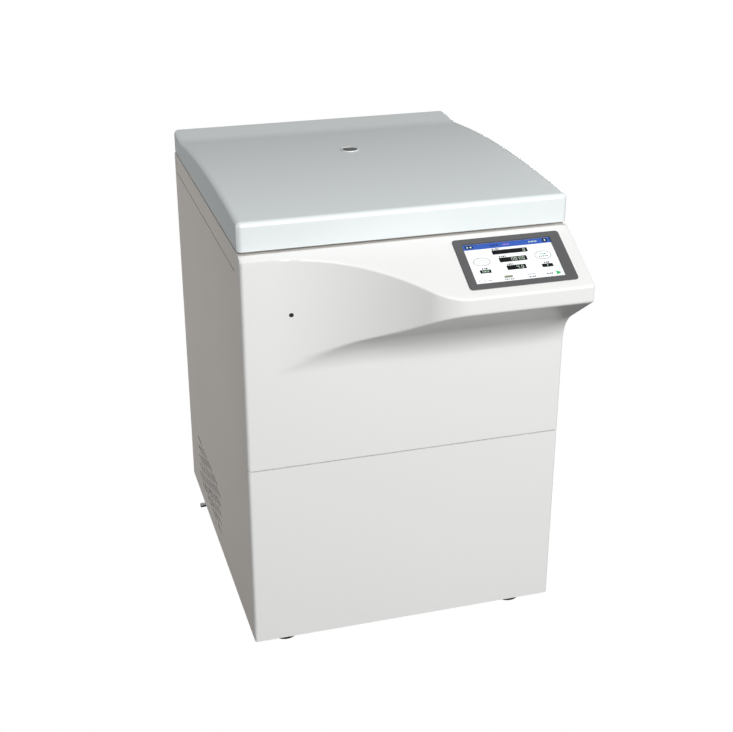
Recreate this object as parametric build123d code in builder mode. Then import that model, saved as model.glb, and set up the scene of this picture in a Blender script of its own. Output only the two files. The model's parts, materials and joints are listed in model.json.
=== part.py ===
"""Floor-standing refrigerated decapping centrifuge.

A steel cabinet on four rubber feet carries an insulated rotor chamber, a swing-out rotor with four
slotted decapping buckets, a drive motor on rubber dampers, a cooling unit and the electronics.
The lid is hinged at the back and helped by two gas struts, and two lock pawls hold its front.

Millimetres. +X is to the right of someone facing the console, +Y is to the back, +Z is up.
The origin is on the floor under the centre of the overall length and width.
"""

import os
from math import atan2, cos, degrees, hypot, radians, sin, tan

from build123d import *

os.makedirs("parts", exist_ok=True)

# Driving dimensions: cabinet
cabinet_width = 560.0
cabinet_depth = 648.0  # front panel face to rear panel face
console_reach = 108.0  # console front beyond the front panel face
inlet_standoff = 6.0  # mains inlet flange beyond the rear panel face
foot_height = 22.0  # floor to the underside of the cabinet
seam_height = 366.0  # floor to the joint between the two front panels
deck_height = 745.0  # floor to the top of the deck
skirt_depth = 35.5  # deck skirt below the deck top, down to the side groove
groove = 1.5  # visible joint between neighbouring covers
sheet = 2.0  # sheet steel covers
moulding_wall = 4.0  # moulded front panel wall
fit_gap = 0.3  # clearance between pieces that seat on each other
edge_margin = 1.0  # how near an edge lies to the face that it belongs to
front_panel_depth = 15.0  # front face to the back edge of both front panels
panel_edge_radius = 5.0
deck_sheet = 3.0
deck_edge_radius = 2.5
ear_inset = 51.0  # deck skirt front behind the front panel face
ear_rear_inset = 23.0  # deck skirt end in front of the rear panel face

# Driving dimensions: console
console_drop = 65.0  # deck top down to the front edge of the sloping console
slope_angle = 28.13  # console slope below the horizontal
console_band = 27.3  # upright band along the console front
cove_angle = 35.3  # underside of the console below the horizontal
cove_radius = 74.0  # sweep from the underside into the front panel
curve_start_x = -233.5  # where the console starts to grow out of the front panel
curve_join_x = 5.2  # where the curve turns back towards the console front
curve_end_x = 76.0  # where the console reaches its full reach
display_inset = 116.5  # display centre in from the right side
display_slope_offset = 72.2  # console front edge to the display centre, along the slope
bezel_width = 187.0
bezel_length = 108.5
bezel_rise = 1.6
bezel_lip = 4.0
bezel_depth = 6.0
bezel_corner_radius = 6.0
bezel_edge_radius = 0.6
screen_margin = 2.0
screen_recess = 0.8
screen_width = 154.0
screen_length = 86.0
screen_offset = -2.1
release_hole_inset = 80.0  # release hole in from the left side
release_hole_drop = 37.0  # release hole below the console's front edge
release_hole_radius = 3.8
release_length = 14.0
release_face_reach = 1.5  # front panel face beyond its flat part at the release hole
release_edge_radius = 1.0

# Driving dimensions: lid
lid_gap = 4.0
lid_front_setback = 18.0  # lid front behind the front panel face
lid_rear_setback = 3.0  # lid back in front of the rear panel face
lid_front_height = 48.0
lid_crown_height = 56.5
lid_crease_height = 38.0
lid_back_height = 43.0
lid_crease_inset = 85.0  # crease in front of the lid back
lid_crown_inset = 265.0  # crown behind the lid front
lid_wall = 4.0
lid_edge_radius = 8.0
lid_corner_radius = 9.0
liner_sheet = 2.0
liner_flange = 14.0
liner_height = 3.3  # liner underside above the lid's lower edge
sight_glass_radius = 15.5
sight_ring_wall = 1.2
sight_ring_rise = 0.8
sight_glass_drop = 1.2  # glass below the lid's crown
sight_glass_thickness = 5.0
hinge_x = 165.0
hinge_width = 44.0
hinge_pin_radius = 3.0
hinge_barrel_radius = 6.5
hinge_knuckle = 20.0
hinge_notch_gap = 1.0
hinge_arm_length = 60.0
hinge_arm_thickness = 3.0
hinge_leaf_length = 50.0
hinge_leaf_thickness = 2.5
hinge_leaf_web = 24.0
hinge_inset = 4.0  # hinge axis in front of the lid back
hinge_rise = 3.0  # hinge axis above the lid's lower edge
pin_clearance = 0.05

# Driving dimensions: rotor and chamber
rotor_y = 88.0
stations = 4  # buckets round the rotor
trunnion_drop = 65.0  # deck top down to the trunnion axis
trunnion_reach = 110.0  # rotor axis to trunnion axis
bucket_radial = 92.0
bucket_tangential = 106.0
bucket_corner_radius = 10.0
bucket_below = 76.0  # trunnion axis to the underside of a bucket
bucket_above = 8.0
bucket_wall = 2.5
bucket_floor = 3.0
lug_thickness = 6.0
trunnion_radius = 6.0
slots = 5
tubes_per_slot = 6
slot_pitch = 17.2
slot_width = 13.6
tube_pitch = 16.0
rack_clearance = 0.5
rack_floor = 4.0
rack_below_trunnion = 6.0  # trunnion axis down to the top of a rack
grid_thickness = 5.7
cap_seat_radius = 7.8
lug_clearance = 1.0
lug_half_width = 13.0
lug_drop = 40.0
head_outer = 126.0
head_shoulder = 10.0
cap_seat_depth = 2.5
swing_clearance = 4.0  # swung bucket to chamber wall
chamber_depth = 173.0
bowl_wall = 1.5
bowl_corner_radius = 18.0
bowl_hole_radius = 38.0
rim_width = 13.0
coil_tube_radius = 4.0
coil_turns = 9
coil_pitch = 15.0
coil_inset = 14.0  # lowest turn above the chamber floor
gasket_edge_radius = 1.5
boot_bore = 13.0
boot_wall = 3.0
boot_flange = 5.0
boot_flange_radius = 46.0
boot_height = 20.0
foam_thickness = 14.0
guard_wall = 7.0
arm_width = 14.0
arm_height = 24.0
hub_radius = 32.0
spindle_radius = 10.0
spindle_thread_radius = 8.0
spindle_thread = 10.0
spindle_foot = 4.0
hub_neck_radius = 22.0
hub_clearance = 6.0  # hub neck above the shaft boot
press_clearance = 0.02
nut_radius = 19.0
nut_height = 13.0
nut_chamfer = 2.0
nut_grips = 8
nut_grip_radius = 3.0

# Driving dimensions: frame, drive, cooling, struts, lock and drain
post_size = 18.0
post_wall = 2.0
rail_height = 20.0
tray_sheet = 3.0
tray_flange = 28.0
support_plate = 8.0
foot_pad_radius = 22.5
foot_side_inset = 63.0
foot_front_inset = 45.0
foot_edge_radius = 2.0
foot_stud_radius = 5.0
foot_nut_radius = 9.0
foot_nut_height = 8.0
motor_radius = 72.0
motor_length = 150.0
motor_wall = 6.0
damper_radius = 15.0
damper_height = 24.0
damper_spread = 88.0
dampers = 3
motor_flange = 10.0
bearing_radius = 21.0
bearing_height = 9.0
stator_bore = 40.0
stator_inset = 32.0
stator_slot = 12.0
stator_slot_width = 6.0
stator_slots = 12
air_gap = 0.5
vent_bottom = 64.0
vent_rear_y = 224.0
vent_slot_length = 46.0
vent_slot_height = 4.0
vent_slot_gap = 12.0
vent_row_pitch = 10.5
vent_rows = 10
vent_columns = 4
compressor_radius = 68.0
compressor_height = 150.0
compressor_x = 80.0
compressor_y = 180.0
compressor_lift = 14.0
compressor_foot_radius = 50.0
compressor_edge_radius = 20.0
condenser_width = 250.0
condenser_height = 150.0
condenser_thickness = 38.0
condenser_gap = 8.0
condenser_end = 2.0
condenser_fins = 14
fan_radius = 66.0
fan_gap = 3.0
fan_depth = 26.0
fan_bridge = 24.0
fan_hub_radius = 18.0
fan_shaft_radius = 4.0
fan_blade_count = 5
fan_blade_chord = 30.0
fan_blade_thickness = 2.0
fan_pitch = 25.0
fan_motor_radius = 28.0
fan_motor_length = 42.0
fan_motor_edge_radius = 6.0
pipe_radius = 4.0
pipe_bend = 20.0
pipe_rise = 60.0
drier_radius = 11.0
drier_length = 70.0
strut_inset = 35.0  # gas strut in from the side face
strut_lever = 105.0  # hinge axis to the top pivot of a gas strut, along the lid
strut_pivot_rise = 6.0
strut_base_inset = 55.0  # lower pivot in front of the rear panel face
strut_base_drop = 135.0  # deck top down to the lower pivot
strut_radius = 9.0
strut_rod_radius = 4.0
strut_end_radius = 8.0
strut_pin_radius = 4.0
strut_pin_length = 14.0
strut_tab_thickness = 4.0
strut_eye_thickness = 9.0
strut_ear_gap = 0.6
strut_ear_thickness = 4.0
strut_ear_foot = 14.0
strut_tube_start = 14.0
strut_tube_length = 104.0
strut_tube_wall = 3.0
strut_rod_length = 138.0
strut_slot_width = 24.0
strut_slot_length = 96.0
liner_slot_length = 92.0
strut_slot_shift = 18.0  # deck slot centre in front of the lower pivot
liner_slot_shift = 20.0  # liner slot centre behind the upper pivot
lock_inset = 90.0  # lock hook in from the side face
lock_shaft_inset = 68.0  # lock shaft behind the front panel face
lock_shaft_drop = 47.0  # deck top down to the lock shaft
lock_shaft_radius = 5.0
lock_angle = 35.0
hook_height = 26.0
hook_reach = 28.0
hook_width = 8.0
striker_length = 45.0
striker_thickness = 6.0
striker_leg = 5.5
striker_behind_shaft = 20.0
striker_slot_width = 28.0
striker_slot_length = 16.0
hook_nose = 6.0
hook_clearance = 1.5
striker_bar_drop = 8.0  # striker's cross bar below the locked hook's nose
lock_hub_radius = 8.0
lock_shaft_end = 20.0  # lock shaft past the middle of each hook
lock_cheek = 3.0
lock_cheek_gap = 30.0
lock_housing_drop = 12.0
lock_cheek_front = 28.0  # lock shaft to the front of its cheeks
lock_cheek_back = 34.0
spigot_radius = 4.5
spigot_reach = 10.0
nozzle_length = 9.0
nozzle_step = 0.25  # nozzle's radius over the pipe behind it
spigot_y = 237.0
spigot_z = 17.0
spigot_overlap = 20.0
drain_x = -100.0
hose_radius = 7.0
hose_rise = 12.0

# Driving dimensions: electronics and inlets
box_width = 400.0
box_height = 150.0
box_depth = 110.0
box_margin = 6.0
drive_x = -90.0
drive_width = 160.0
drive_depth = 90.0
drive_height = 60.0
drive_fins = 12
drive_fin_height = 25.0
inlet_x = -150.0
inlet_height_above_base = 90.0
inlet_width = 32.0
inlet_height = 26.0
inlet_flange = 6.0
inlet_depth = 24.0
inlet_pin_width = 2.0
inlet_pin_height = 5.0
inlet_pin_pitch = 7.0
breaker_x = -80.0
breaker_width = 18.0
breaker_height = 45.0
breaker_depth = 60.0
breaker_slot_width = 9.0
toggle_radius = 11.0
toggle_barrel = 4.0
toggle_pin_radius = 1.5
toggle_inset = 4.0
toggle_reach = 5.0
toggle_tilt = 4.0
toggle_lever = 4.0

# Places worked out from the driving dimensions
half_width = cabinet_width / 2
slope_front_height = deck_height - console_drop
trunnion_height = deck_height - trunnion_drop
display_x = half_width - display_inset
release_hole_x = -half_width + release_hole_inset
release_hole_z = slope_front_height - release_hole_drop
foot_x = half_width - foot_side_inset
strut_x = half_width - strut_inset
strut_base_z = deck_height - strut_base_drop
lock_x = half_width - lock_inset
lock_shaft_z = deck_height - lock_shaft_drop
lock_shaft_length = 2 * (half_width - lock_inset + lock_shaft_end)
overall_depth = console_reach + cabinet_depth + inlet_standoff
console_front_y = -overall_depth / 2
front_y = console_front_y + console_reach
rear_y = front_y + cabinet_depth
strut_base_y = rear_y - strut_base_inset
lock_shaft_y = front_y + lock_shaft_inset
panel_back_y = front_y + front_panel_depth
base_z = foot_height
skirt_bottom_z = deck_height - skirt_depth
lid_base_z = deck_height + lid_gap
lid_front_y = front_y + lid_front_setback
lid_back_y = rear_y - lid_rear_setback
hinge_y = lid_back_y - hinge_inset
hinge_z = lid_base_z + hinge_rise
liner_z = lid_base_z + liner_height
hinge_outer_knuckle = (hinge_width - hinge_knuckle) / 2 - fit_gap
side_inner_x = half_width - sheet
deck_under_z = deck_height - deck_sheet
swing_reach = trunnion_reach + hypot(bucket_below, bucket_radial / 2)
chamber_radius = hypot(swing_reach, bucket_tangential / 2) + swing_clearance
chamber_floor_z = deck_height - chamber_depth
bowl_outer = chamber_radius + bowl_wall
coil_radius = bowl_outer + fit_gap + coil_tube_radius
foam_inner = coil_radius + coil_tube_radius + fit_gap
foam_outer = foam_inner + foam_thickness
guard_inner = foam_outer + fit_gap
guard_outer = guard_inner + guard_wall
foam_bottom_z = chamber_floor_z - bowl_wall - foam_thickness
support_top_z = foam_bottom_z - fit_gap
support_bottom_z = support_top_z - support_plate
slope_rise = tan(radians(slope_angle))
curve_angle = 2 * atan2(console_reach, curve_end_x - curve_start_x)
curve_radius = (curve_join_x - curve_start_x) / sin(curve_angle)
upper_panel_z = seam_height + groove / 2
display_y = console_front_y + display_slope_offset * cos(radians(slope_angle))
tray_half = side_inner_x - fit_gap
tray_front_y = panel_back_y + fit_gap
tray_back_y = rear_y - sheet - fit_gap
post_x = tray_half - tray_sheet - fit_gap - post_size / 2
post_front_y = tray_front_y + tray_sheet + fit_gap + post_size / 2
post_back_y = tray_back_y - tray_sheet - fit_gap - post_size / 2
post_places = [(x, y) for x in (-post_x, post_x) for y in (post_front_y, post_back_y)]
foot_places = [
    (x, y) for x in (-foot_x, foot_x) for y in (front_y + foot_front_inset, rear_y - foot_front_inset)
]
frame_top_z = deck_under_z
side_front_y = panel_back_y + fit_gap
side_back_y = rear_y
ear_top_z = deck_under_z - fit_gap
skirt_front_y = front_y + ear_inset
skirt_back_y = rear_y - ear_rear_inset
deck_front_y = panel_back_y + fit_gap
vent_front_y = vent_rear_y - (vent_columns - 0.5) * (vent_slot_length + vent_slot_gap) + vent_slot_gap
release_face_y = front_y - release_face_reach
strut_top_y = hinge_y - strut_lever
strut_top_z = hinge_z + strut_pivot_rise
strut_slot_y = strut_base_y - strut_slot_shift
liner_slot_y = strut_top_y + liner_slot_shift
striker_y = lock_shaft_y + striker_behind_shaft
striker_bar_z = lock_shaft_z + hook_height - hook_nose - striker_bar_drop
lock_front_y = lock_shaft_y - lock_cheek_front
lock_back_y = lock_shaft_y + lock_cheek_back
coil_bottom_z = chamber_floor_z + coil_inset
hub_bottom_z = chamber_floor_z + boot_height + hub_clearance
glass_top_z = lid_base_z + lid_crown_height - sight_glass_drop
liner_width = 2 * (half_width - lid_wall - fit_gap)
liner_length = lid_back_y - lid_front_y - 2 * lid_wall - 2 * fit_gap
compressor_bottom_z = base_z + tray_sheet + compressor_lift
condenser_y = vent_rear_y - condenser_width / 2
pipe_y = condenser_y - condenser_width / 4
pipe_top_z = compressor_bottom_z + compressor_height + pipe_rise
box_front_y = panel_back_y + fit_gap + tray_sheet + box_margin
box_back_y = box_front_y + box_depth
inlet_z = base_z + inlet_height_above_base
hose_bottom_z = base_z + tray_sheet + hose_rise


def save(piece, name):
    """Labels a finished piece and writes it under its node name."""
    piece.part.label = name
    export_step(piece.part, f"parts/{name}.step")


def save_at_rotor(piece, name):
    """Moves a piece drawn about the Z axis to the rotor axis and saves it."""
    with BuildPart() as moved:
        add(piece.part.moved(Location((0, rotor_y, 0))))
    save(moved, name)


def hinge_notches():
    """The space that both hinges need in the back of the lid."""
    reach = hinge_barrel_radius + hinge_notch_gap
    with BuildPart() as notches:
        for side in (-1, 1):
            with BuildSketch(Plane.YZ.offset(side * hinge_x - hinge_width / 2 - hinge_notch_gap)):
                with Locations((hinge_y, hinge_z)):
                    Circle(reach)
                with Locations((hinge_y, hinge_z - reach / 2)):
                    Rectangle(2 * reach, reach)
                with Locations((hinge_y + reach / 2, hinge_z)):
                    Rectangle(reach, 2 * reach)
            extrude(amount=hinge_width + 2 * hinge_notch_gap)
    return notches.part


def slope_height(y):
    """Height of the console's sloping face at a depth y."""
    return slope_front_height + (y - console_front_y) * slope_rise


def front_block(inset):
    """The closed outer form of the upper front panel, drawn in by a wall thickness."""
    top_back_y = console_front_y + (deck_height - slope_front_height) / slope_rise
    cove_top_z = slope_front_height - console_band
    cove_foot_z = cove_top_z - console_reach * tan(radians(cove_angle))
    block_back_y = panel_back_y + 3 * inset
    join = (curve_join_x, front_y - curve_radius * (1 - cos(curve_angle)))
    with BuildPart() as block:
        with BuildSketch(Plane.YZ) as profile:
            with BuildLine():
                Polyline(
                    (block_back_y, upper_panel_z),
                    (front_y, upper_panel_z),
                    (front_y, cove_foot_z),
                    (console_front_y, cove_top_z),
                    (console_front_y, slope_front_height),
                    (top_back_y, deck_height),
                    (block_back_y, deck_height),
                    close=True,
                )
            make_face()
            cove = profile.vertices().sort_by_distance((front_y, cove_foot_z))[0]
            fillet(cove, cove_radius)
            if inset:
                offset(amount=-inset)
        extrude(amount=half_width, both=True)
        with BuildSketch(Plane.XY):
            with BuildLine():
                face_line = Line((-half_width, front_y), (curve_start_x, front_y))
                first = TangentArc(face_line @ 1, join, tangent=(1, 0))
                second = TangentArc(join, (curve_end_x, console_front_y), tangent=first % 1)
                Polyline(
                    second @ 1,
                    (half_width, console_front_y),
                    (half_width, block_back_y),
                    (-half_width, block_back_y),
                    (-half_width, front_y),
                )
            make_face()
            if inset:
                offset(amount=-inset)
        extrude(amount=deck_height + inset, mode=Mode.INTERSECT)
    return block.part


def lid_block(inset):
    """The closed outer form of the lid, drawn in by a wall thickness."""
    front = lid_front_y + inset
    back = lid_back_y - inset
    side = half_width - inset
    with BuildPart() as block:
        with BuildSketch(Plane.YZ):
            with BuildLine():
                crown = ThreePointArc(
                    (front, lid_base_z + lid_front_height - inset),
                    (lid_front_y + lid_crown_inset, lid_base_z + lid_crown_height - inset),
                    (lid_back_y - lid_crease_inset, lid_base_z + lid_crease_height - inset),
                )
                Polyline(
                    crown @ 1,
                    (back, lid_base_z + lid_back_height - inset),
                    (back, lid_base_z),
                    (front, lid_base_z),
                    crown @ 0,
                )
            make_face()
        extrude(amount=side, both=True)
        corner_radius = lid_corner_radius - inset
        fillet(block.edges().filter_by(Axis.Z), corner_radius)
        if inset == 0:
            rim = [
                edge for edge in block.edges()
                if edge.center().Z > lid_base_z + lid_crease_height - edge_margin
                and not edge.is_interior
                and (abs(edge.center().X) > side - corner_radius
                     or edge.center().Y < front + corner_radius
                     or edge.center().Y > back - corner_radius)
            ]
            fillet(rim, lid_edge_radius)
    return block.part


# Cabinet frame and feet
with BuildPart() as base_tray:
    with BuildSketch(Plane.XY.offset(base_z)):
        with Locations((0, (tray_front_y + tray_back_y) / 2)):
            Rectangle(2 * tray_half, tray_back_y - tray_front_y)
    extrude(amount=tray_flange)
    with BuildSketch(Plane.XY.offset(base_z + tray_sheet)):
        with Locations((0, (tray_front_y + tray_back_y) / 2)):
            Rectangle(2 * (tray_half - tray_sheet), tray_back_y - tray_front_y - 2 * tray_sheet)
    extrude(amount=tray_flange, mode=Mode.SUBTRACT)
    with BuildSketch(Plane.XY.offset(base_z)):
        with Locations(*foot_places):
            Circle(foot_stud_radius + fit_gap)
        with Locations((drain_x, spigot_y)):
            Circle(spigot_radius + fit_gap)
    extrude(amount=tray_sheet, mode=Mode.SUBTRACT)
save(base_tray, "base_tray")

with BuildPart() as feet:
    with BuildSketch():
        with Locations(*foot_places):
            Circle(foot_pad_radius)
    extrude(amount=foot_height)
    fillet(feet.edges().group_by(Axis.Z)[0], foot_edge_radius)
    with BuildSketch(Plane.XY.offset(base_z)):
        with Locations(*foot_places):
            Circle(foot_stud_radius)
    extrude(amount=tray_sheet + foot_nut_height + foot_stud_radius)
    with BuildSketch(Plane.XY.offset(base_z + tray_sheet)):
        with Locations(*foot_places):
            RegularPolygon(foot_nut_radius, 6)
    extrude(amount=foot_nut_height)
save(feet, "feet")

with BuildPart() as cabinet_frame:
    post_gap = post_back_y - post_front_y
    post_middle_y = (post_front_y + post_back_y) / 2
    with BuildSketch(Plane.XY.offset(base_z + tray_sheet)):
        with Locations(*post_places):
            Rectangle(post_size, post_size)
            Rectangle(post_size - 2 * post_wall, post_size - 2 * post_wall, mode=Mode.SUBTRACT)
    extrude(amount=frame_top_z - post_size - base_z - tray_sheet)
    with BuildSketch(Plane.XY.offset(frame_top_z - post_size)):
        with Locations((0, post_middle_y)):
            Rectangle(2 * post_x + post_size, post_gap + post_size)
            Rectangle(2 * post_x - post_size, post_gap - post_size, mode=Mode.SUBTRACT)
    extrude(amount=post_size)
    with BuildSketch(Plane.XY.offset(support_bottom_z - rail_height)):
        with Locations((-post_x, post_middle_y), (post_x, post_middle_y)):
            Rectangle(post_size, post_gap - post_size)
    extrude(amount=rail_height)
    for side in (-1, 1):
        inner_x = side * (post_x - post_size / 2)
        tab_plane = Plane.YZ.offset(inner_x)
        with BuildSketch(tab_plane):
            with Locations(((strut_base_y + post_back_y) / 2, strut_base_z)):
                Rectangle(post_back_y - strut_base_y, 2 * strut_end_radius)
            with Locations((strut_base_y, strut_base_z)):
                Circle(strut_end_radius)
        extrude(amount=-side * strut_tab_thickness)
        with BuildSketch(tab_plane):
            with Locations((strut_base_y, strut_base_z)):
                Circle(strut_pin_radius)
        extrude(amount=-side * strut_pin_length)
save(cabinet_frame, "cabinet_frame")

with BuildPart() as chamber_plate:
    with BuildSketch(Plane.XY.offset(support_bottom_z)):
        with Locations((0, post_middle_y)):
            Rectangle(2 * post_x + post_size, post_gap + post_size)
        with Locations(*post_places):
            Rectangle(post_size + 2 * fit_gap, post_size + 2 * fit_gap, mode=Mode.SUBTRACT)
        with Locations((0, rotor_y)):
            Circle(bowl_hole_radius, mode=Mode.SUBTRACT)
        with Locations((drain_x, spigot_y)):
            Circle(hose_radius + fit_gap, mode=Mode.SUBTRACT)
    extrude(amount=support_plate)
save(chamber_plate, "chamber_plate")

# Covers
for side, side_name in ((-1, "left_side_panel"), (1, "right_side_panel")):
    with BuildPart() as side_panel:
        with BuildSketch(Plane.YZ.offset(side * side_inner_x)):
            with BuildLine():
                Polyline(
                    (side_front_y, base_z),
                    (side_back_y, base_z),
                    (side_back_y, ear_top_z),
                    (skirt_back_y + groove, ear_top_z),
                    (skirt_back_y + groove, skirt_bottom_z - groove),
                    (skirt_front_y - groove, skirt_bottom_z - groove),
                    (skirt_front_y - groove, ear_top_z),
                    (side_front_y, ear_top_z),
                    close=True,
                )
            make_face()
            for row in range(vent_rows):
                row_shift = (vent_slot_length + vent_slot_gap) / 2 if row % 2 else 0.0
                for column in range(vent_columns):
                    slot_y = vent_front_y + row_shift + column * (vent_slot_length + vent_slot_gap)
                    with Locations((slot_y + vent_slot_length / 2, vent_bottom + row * vent_row_pitch)):
                        SlotOverall(vent_slot_length, vent_slot_height, mode=Mode.SUBTRACT)
        extrude(amount=side * sheet)
    save(side_panel, side_name)

with BuildPart() as rear_panel:
    with BuildSketch(Plane.XZ.offset(-rear_y + sheet)):
        with Locations((0, (base_z + skirt_bottom_z - groove) / 2)):
            Rectangle(2 * side_inner_x - 2 * fit_gap, skirt_bottom_z - groove - base_z)
        with Locations((inlet_x, inlet_z)):
            Rectangle(inlet_width + 2 * fit_gap, inlet_height + 2 * fit_gap, mode=Mode.SUBTRACT)
        with Locations((breaker_x, inlet_z)):
            Rectangle(breaker_width + 2 * fit_gap, breaker_height + 2 * fit_gap, mode=Mode.SUBTRACT)
    extrude(amount=-sheet)
save(rear_panel, "rear_panel")

with BuildPart() as lower_front_panel:
    with BuildSketch(Plane.XY.offset(base_z)):
        with Locations((0, (front_y + panel_back_y) / 2)):
            Rectangle(cabinet_width, front_panel_depth)
    extrude(amount=seam_height - groove / 2 - base_z)
    front_edges = lower_front_panel.edges().filter_by(Axis.Z).group_by(Axis.Y)[0]
    fillet(front_edges, panel_edge_radius)
    with BuildSketch(Plane.XY.offset(base_z + moulding_wall)):
        with Locations((0, panel_back_y)):
            Rectangle(
                cabinet_width - 2 * moulding_wall, 2 * (front_panel_depth - moulding_wall)
            )
    extrude(amount=seam_height - groove / 2 - base_z - 2 * moulding_wall, mode=Mode.SUBTRACT)
save(lower_front_panel, "lower_front_panel")

slope_plane = Plane(
    origin=(display_x, display_y, slope_height(display_y)),
    x_dir=(1, 0, 0),
    z_dir=(0, -sin(radians(slope_angle)), cos(radians(slope_angle))),
)
outer_front = front_block(0.0)
inner_front = front_block(moulding_wall)
with BuildPart() as upper_front_panel:
    add(outer_front)
    side_edges = [
        edge for edge in upper_front_panel.edges().filter_by(Axis.Z)
        if abs(edge.center().X) > half_width - edge_margin and edge.center().Y < panel_back_y - edge_margin
    ]
    fillet(side_edges, panel_edge_radius)
    add(inner_front, mode=Mode.SUBTRACT)
    with BuildSketch(slope_plane.offset(-2 * moulding_wall)):
        Rectangle(bezel_width - 2 * bezel_lip, bezel_length - 2 * bezel_lip)
    extrude(amount=4 * moulding_wall, mode=Mode.SUBTRACT)
    with BuildSketch(Plane.XZ.offset(-release_face_y + release_length)):
        with Locations((release_hole_x, release_hole_z)):
            Circle(release_hole_radius)
    extrude(amount=-2 * release_length, mode=Mode.SUBTRACT)
save(upper_front_panel, "upper_front_panel")

with BuildPart() as release_plug:
    with BuildSketch(Plane.XZ.offset(-release_face_y)):
        with Locations((release_hole_x, release_hole_z)):
            Circle(release_hole_radius - pin_clearance)
    extrude(amount=-release_length)
    fillet(release_plug.faces().sort_by(Axis.Y)[0].edges(), release_edge_radius)
save(release_plug, "release_plug")

with BuildPart() as top_deck:
    with BuildSketch(Plane.XY.offset(skirt_bottom_z)):
        with Locations((0, (skirt_front_y + skirt_back_y) / 2)):
            Rectangle(cabinet_width, skirt_back_y - skirt_front_y)
            Rectangle(2 * side_inner_x, skirt_back_y - skirt_front_y, mode=Mode.SUBTRACT)
    extrude(amount=skirt_depth)
    with BuildSketch(Plane.XY.offset(deck_under_z)):
        with Locations((0, (deck_front_y + rear_y) / 2)):
            Rectangle(cabinet_width, rear_y - deck_front_y)
    extrude(amount=deck_sheet)
    with BuildSketch(Plane.XY.offset(skirt_bottom_z)):
        with Locations((0, rear_y - sheet / 2)):
            Rectangle(2 * side_inner_x - 2 * fit_gap, sheet)
    extrude(amount=skirt_depth)
    deck_rim = top_deck.edges().group_by(Axis.Z)[-1].filter_by(Axis.Y)
    fillet(deck_rim, deck_edge_radius)
    with BuildSketch(Plane.XY.offset(deck_under_z)):
        with Locations((0, rotor_y)):
            Circle(bowl_outer + fit_gap)
        with Locations((-strut_x, strut_slot_y), (strut_x, strut_slot_y)):
            Rectangle(strut_slot_width, strut_slot_length)
        with Locations((-lock_x, striker_y), (lock_x, striker_y)):
            Rectangle(striker_slot_width, striker_slot_length)
    extrude(amount=deck_sheet, mode=Mode.SUBTRACT)
save(top_deck, "top_deck")

# Chamber
with BuildPart() as chamber_bowl:
    with BuildSketch(Plane.XZ) as bowl_section:
        with BuildLine():
            Polyline(
                (bowl_hole_radius, chamber_floor_z - bowl_wall),
                (bowl_outer, chamber_floor_z - bowl_wall),
                (bowl_outer, deck_height),
                (bowl_outer + rim_width, deck_height),
                (bowl_outer + rim_width, deck_height + bowl_wall),
                (chamber_radius, deck_height + bowl_wall),
                (chamber_radius, chamber_floor_z),
                (bowl_hole_radius, chamber_floor_z),
                close=True,
            )
        make_face()
        outer_corner = bowl_section.vertices().sort_by_distance(
            (bowl_outer, chamber_floor_z - bowl_wall)
        )[0]
        fillet(outer_corner, bowl_corner_radius + bowl_wall)
        inner_corner = bowl_section.vertices().sort_by_distance(
            (chamber_radius, chamber_floor_z)
        )[0]
        fillet(inner_corner, bowl_corner_radius)
    revolve(axis=Axis.Z)
    with BuildSketch(Plane.XY.offset(chamber_floor_z - 2 * bowl_wall)):
        with Locations((drain_x, spigot_y - rotor_y)):
            Circle(spigot_radius)
    extrude(amount=3 * bowl_wall, mode=Mode.SUBTRACT)
save_at_rotor(chamber_bowl, "chamber_bowl")

with BuildPart() as chamber_gasket:
    with BuildSketch(Plane.XY.offset(deck_height + bowl_wall)):
        Circle(bowl_outer + rim_width)
        Circle(chamber_radius, mode=Mode.SUBTRACT)
    extrude(amount=liner_z - fit_gap - deck_height - bowl_wall)
    fillet(chamber_gasket.edges().group_by(Axis.Z)[-1], gasket_edge_radius)
save_at_rotor(chamber_gasket, "chamber_gasket")

with BuildPart() as evaporator_coil:
    with BuildLine() as coil_path:
        half_rise = coil_pitch / 2
        for half_turn in range(2 * coil_turns):
            facing = 1 if half_turn % 2 == 0 else -1
            start_z = coil_bottom_z + half_turn * half_rise
            ThreePointArc(
                (facing * coil_radius, 0, start_z),
                (0, facing * hypot(coil_radius, half_rise / 2), start_z + half_rise / 2),
                (-facing * coil_radius, 0, start_z + half_rise),
            )
    with BuildSketch(Plane(origin=(coil_radius, 0, coil_bottom_z), x_dir=(1, 0, 0), z_dir=(0, 1, 0))):
        Circle(coil_tube_radius)
    sweep(path=coil_path.wires()[0])
save_at_rotor(evaporator_coil, "evaporator_coil")

with BuildPart() as foam_jacket:
    with BuildSketch(Plane.XZ):
        with BuildLine():
            Polyline(
                (bowl_hole_radius, foam_bottom_z),
                (foam_outer, foam_bottom_z),
                (foam_outer, deck_under_z - fit_gap),
                (foam_inner, deck_under_z - fit_gap),
                (foam_inner, chamber_floor_z - bowl_wall - fit_gap),
                (bowl_hole_radius, chamber_floor_z - bowl_wall - fit_gap),
                close=True,
            )
        make_face()
    revolve(axis=Axis.Z)
    with BuildSketch(Plane.XY.offset(foam_bottom_z)):
        with Locations((drain_x, spigot_y - rotor_y)):
            Circle(hose_radius + fit_gap)
    extrude(amount=foam_thickness, mode=Mode.SUBTRACT)
save_at_rotor(foam_jacket, "foam_jacket")

with BuildPart() as guard_ring:
    with BuildSketch(Plane.XY.offset(support_top_z)):
        Circle(guard_outer)
        Circle(guard_inner, mode=Mode.SUBTRACT)
    extrude(amount=deck_under_z - fit_gap - support_top_z)
save_at_rotor(guard_ring, "guard_ring")

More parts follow.
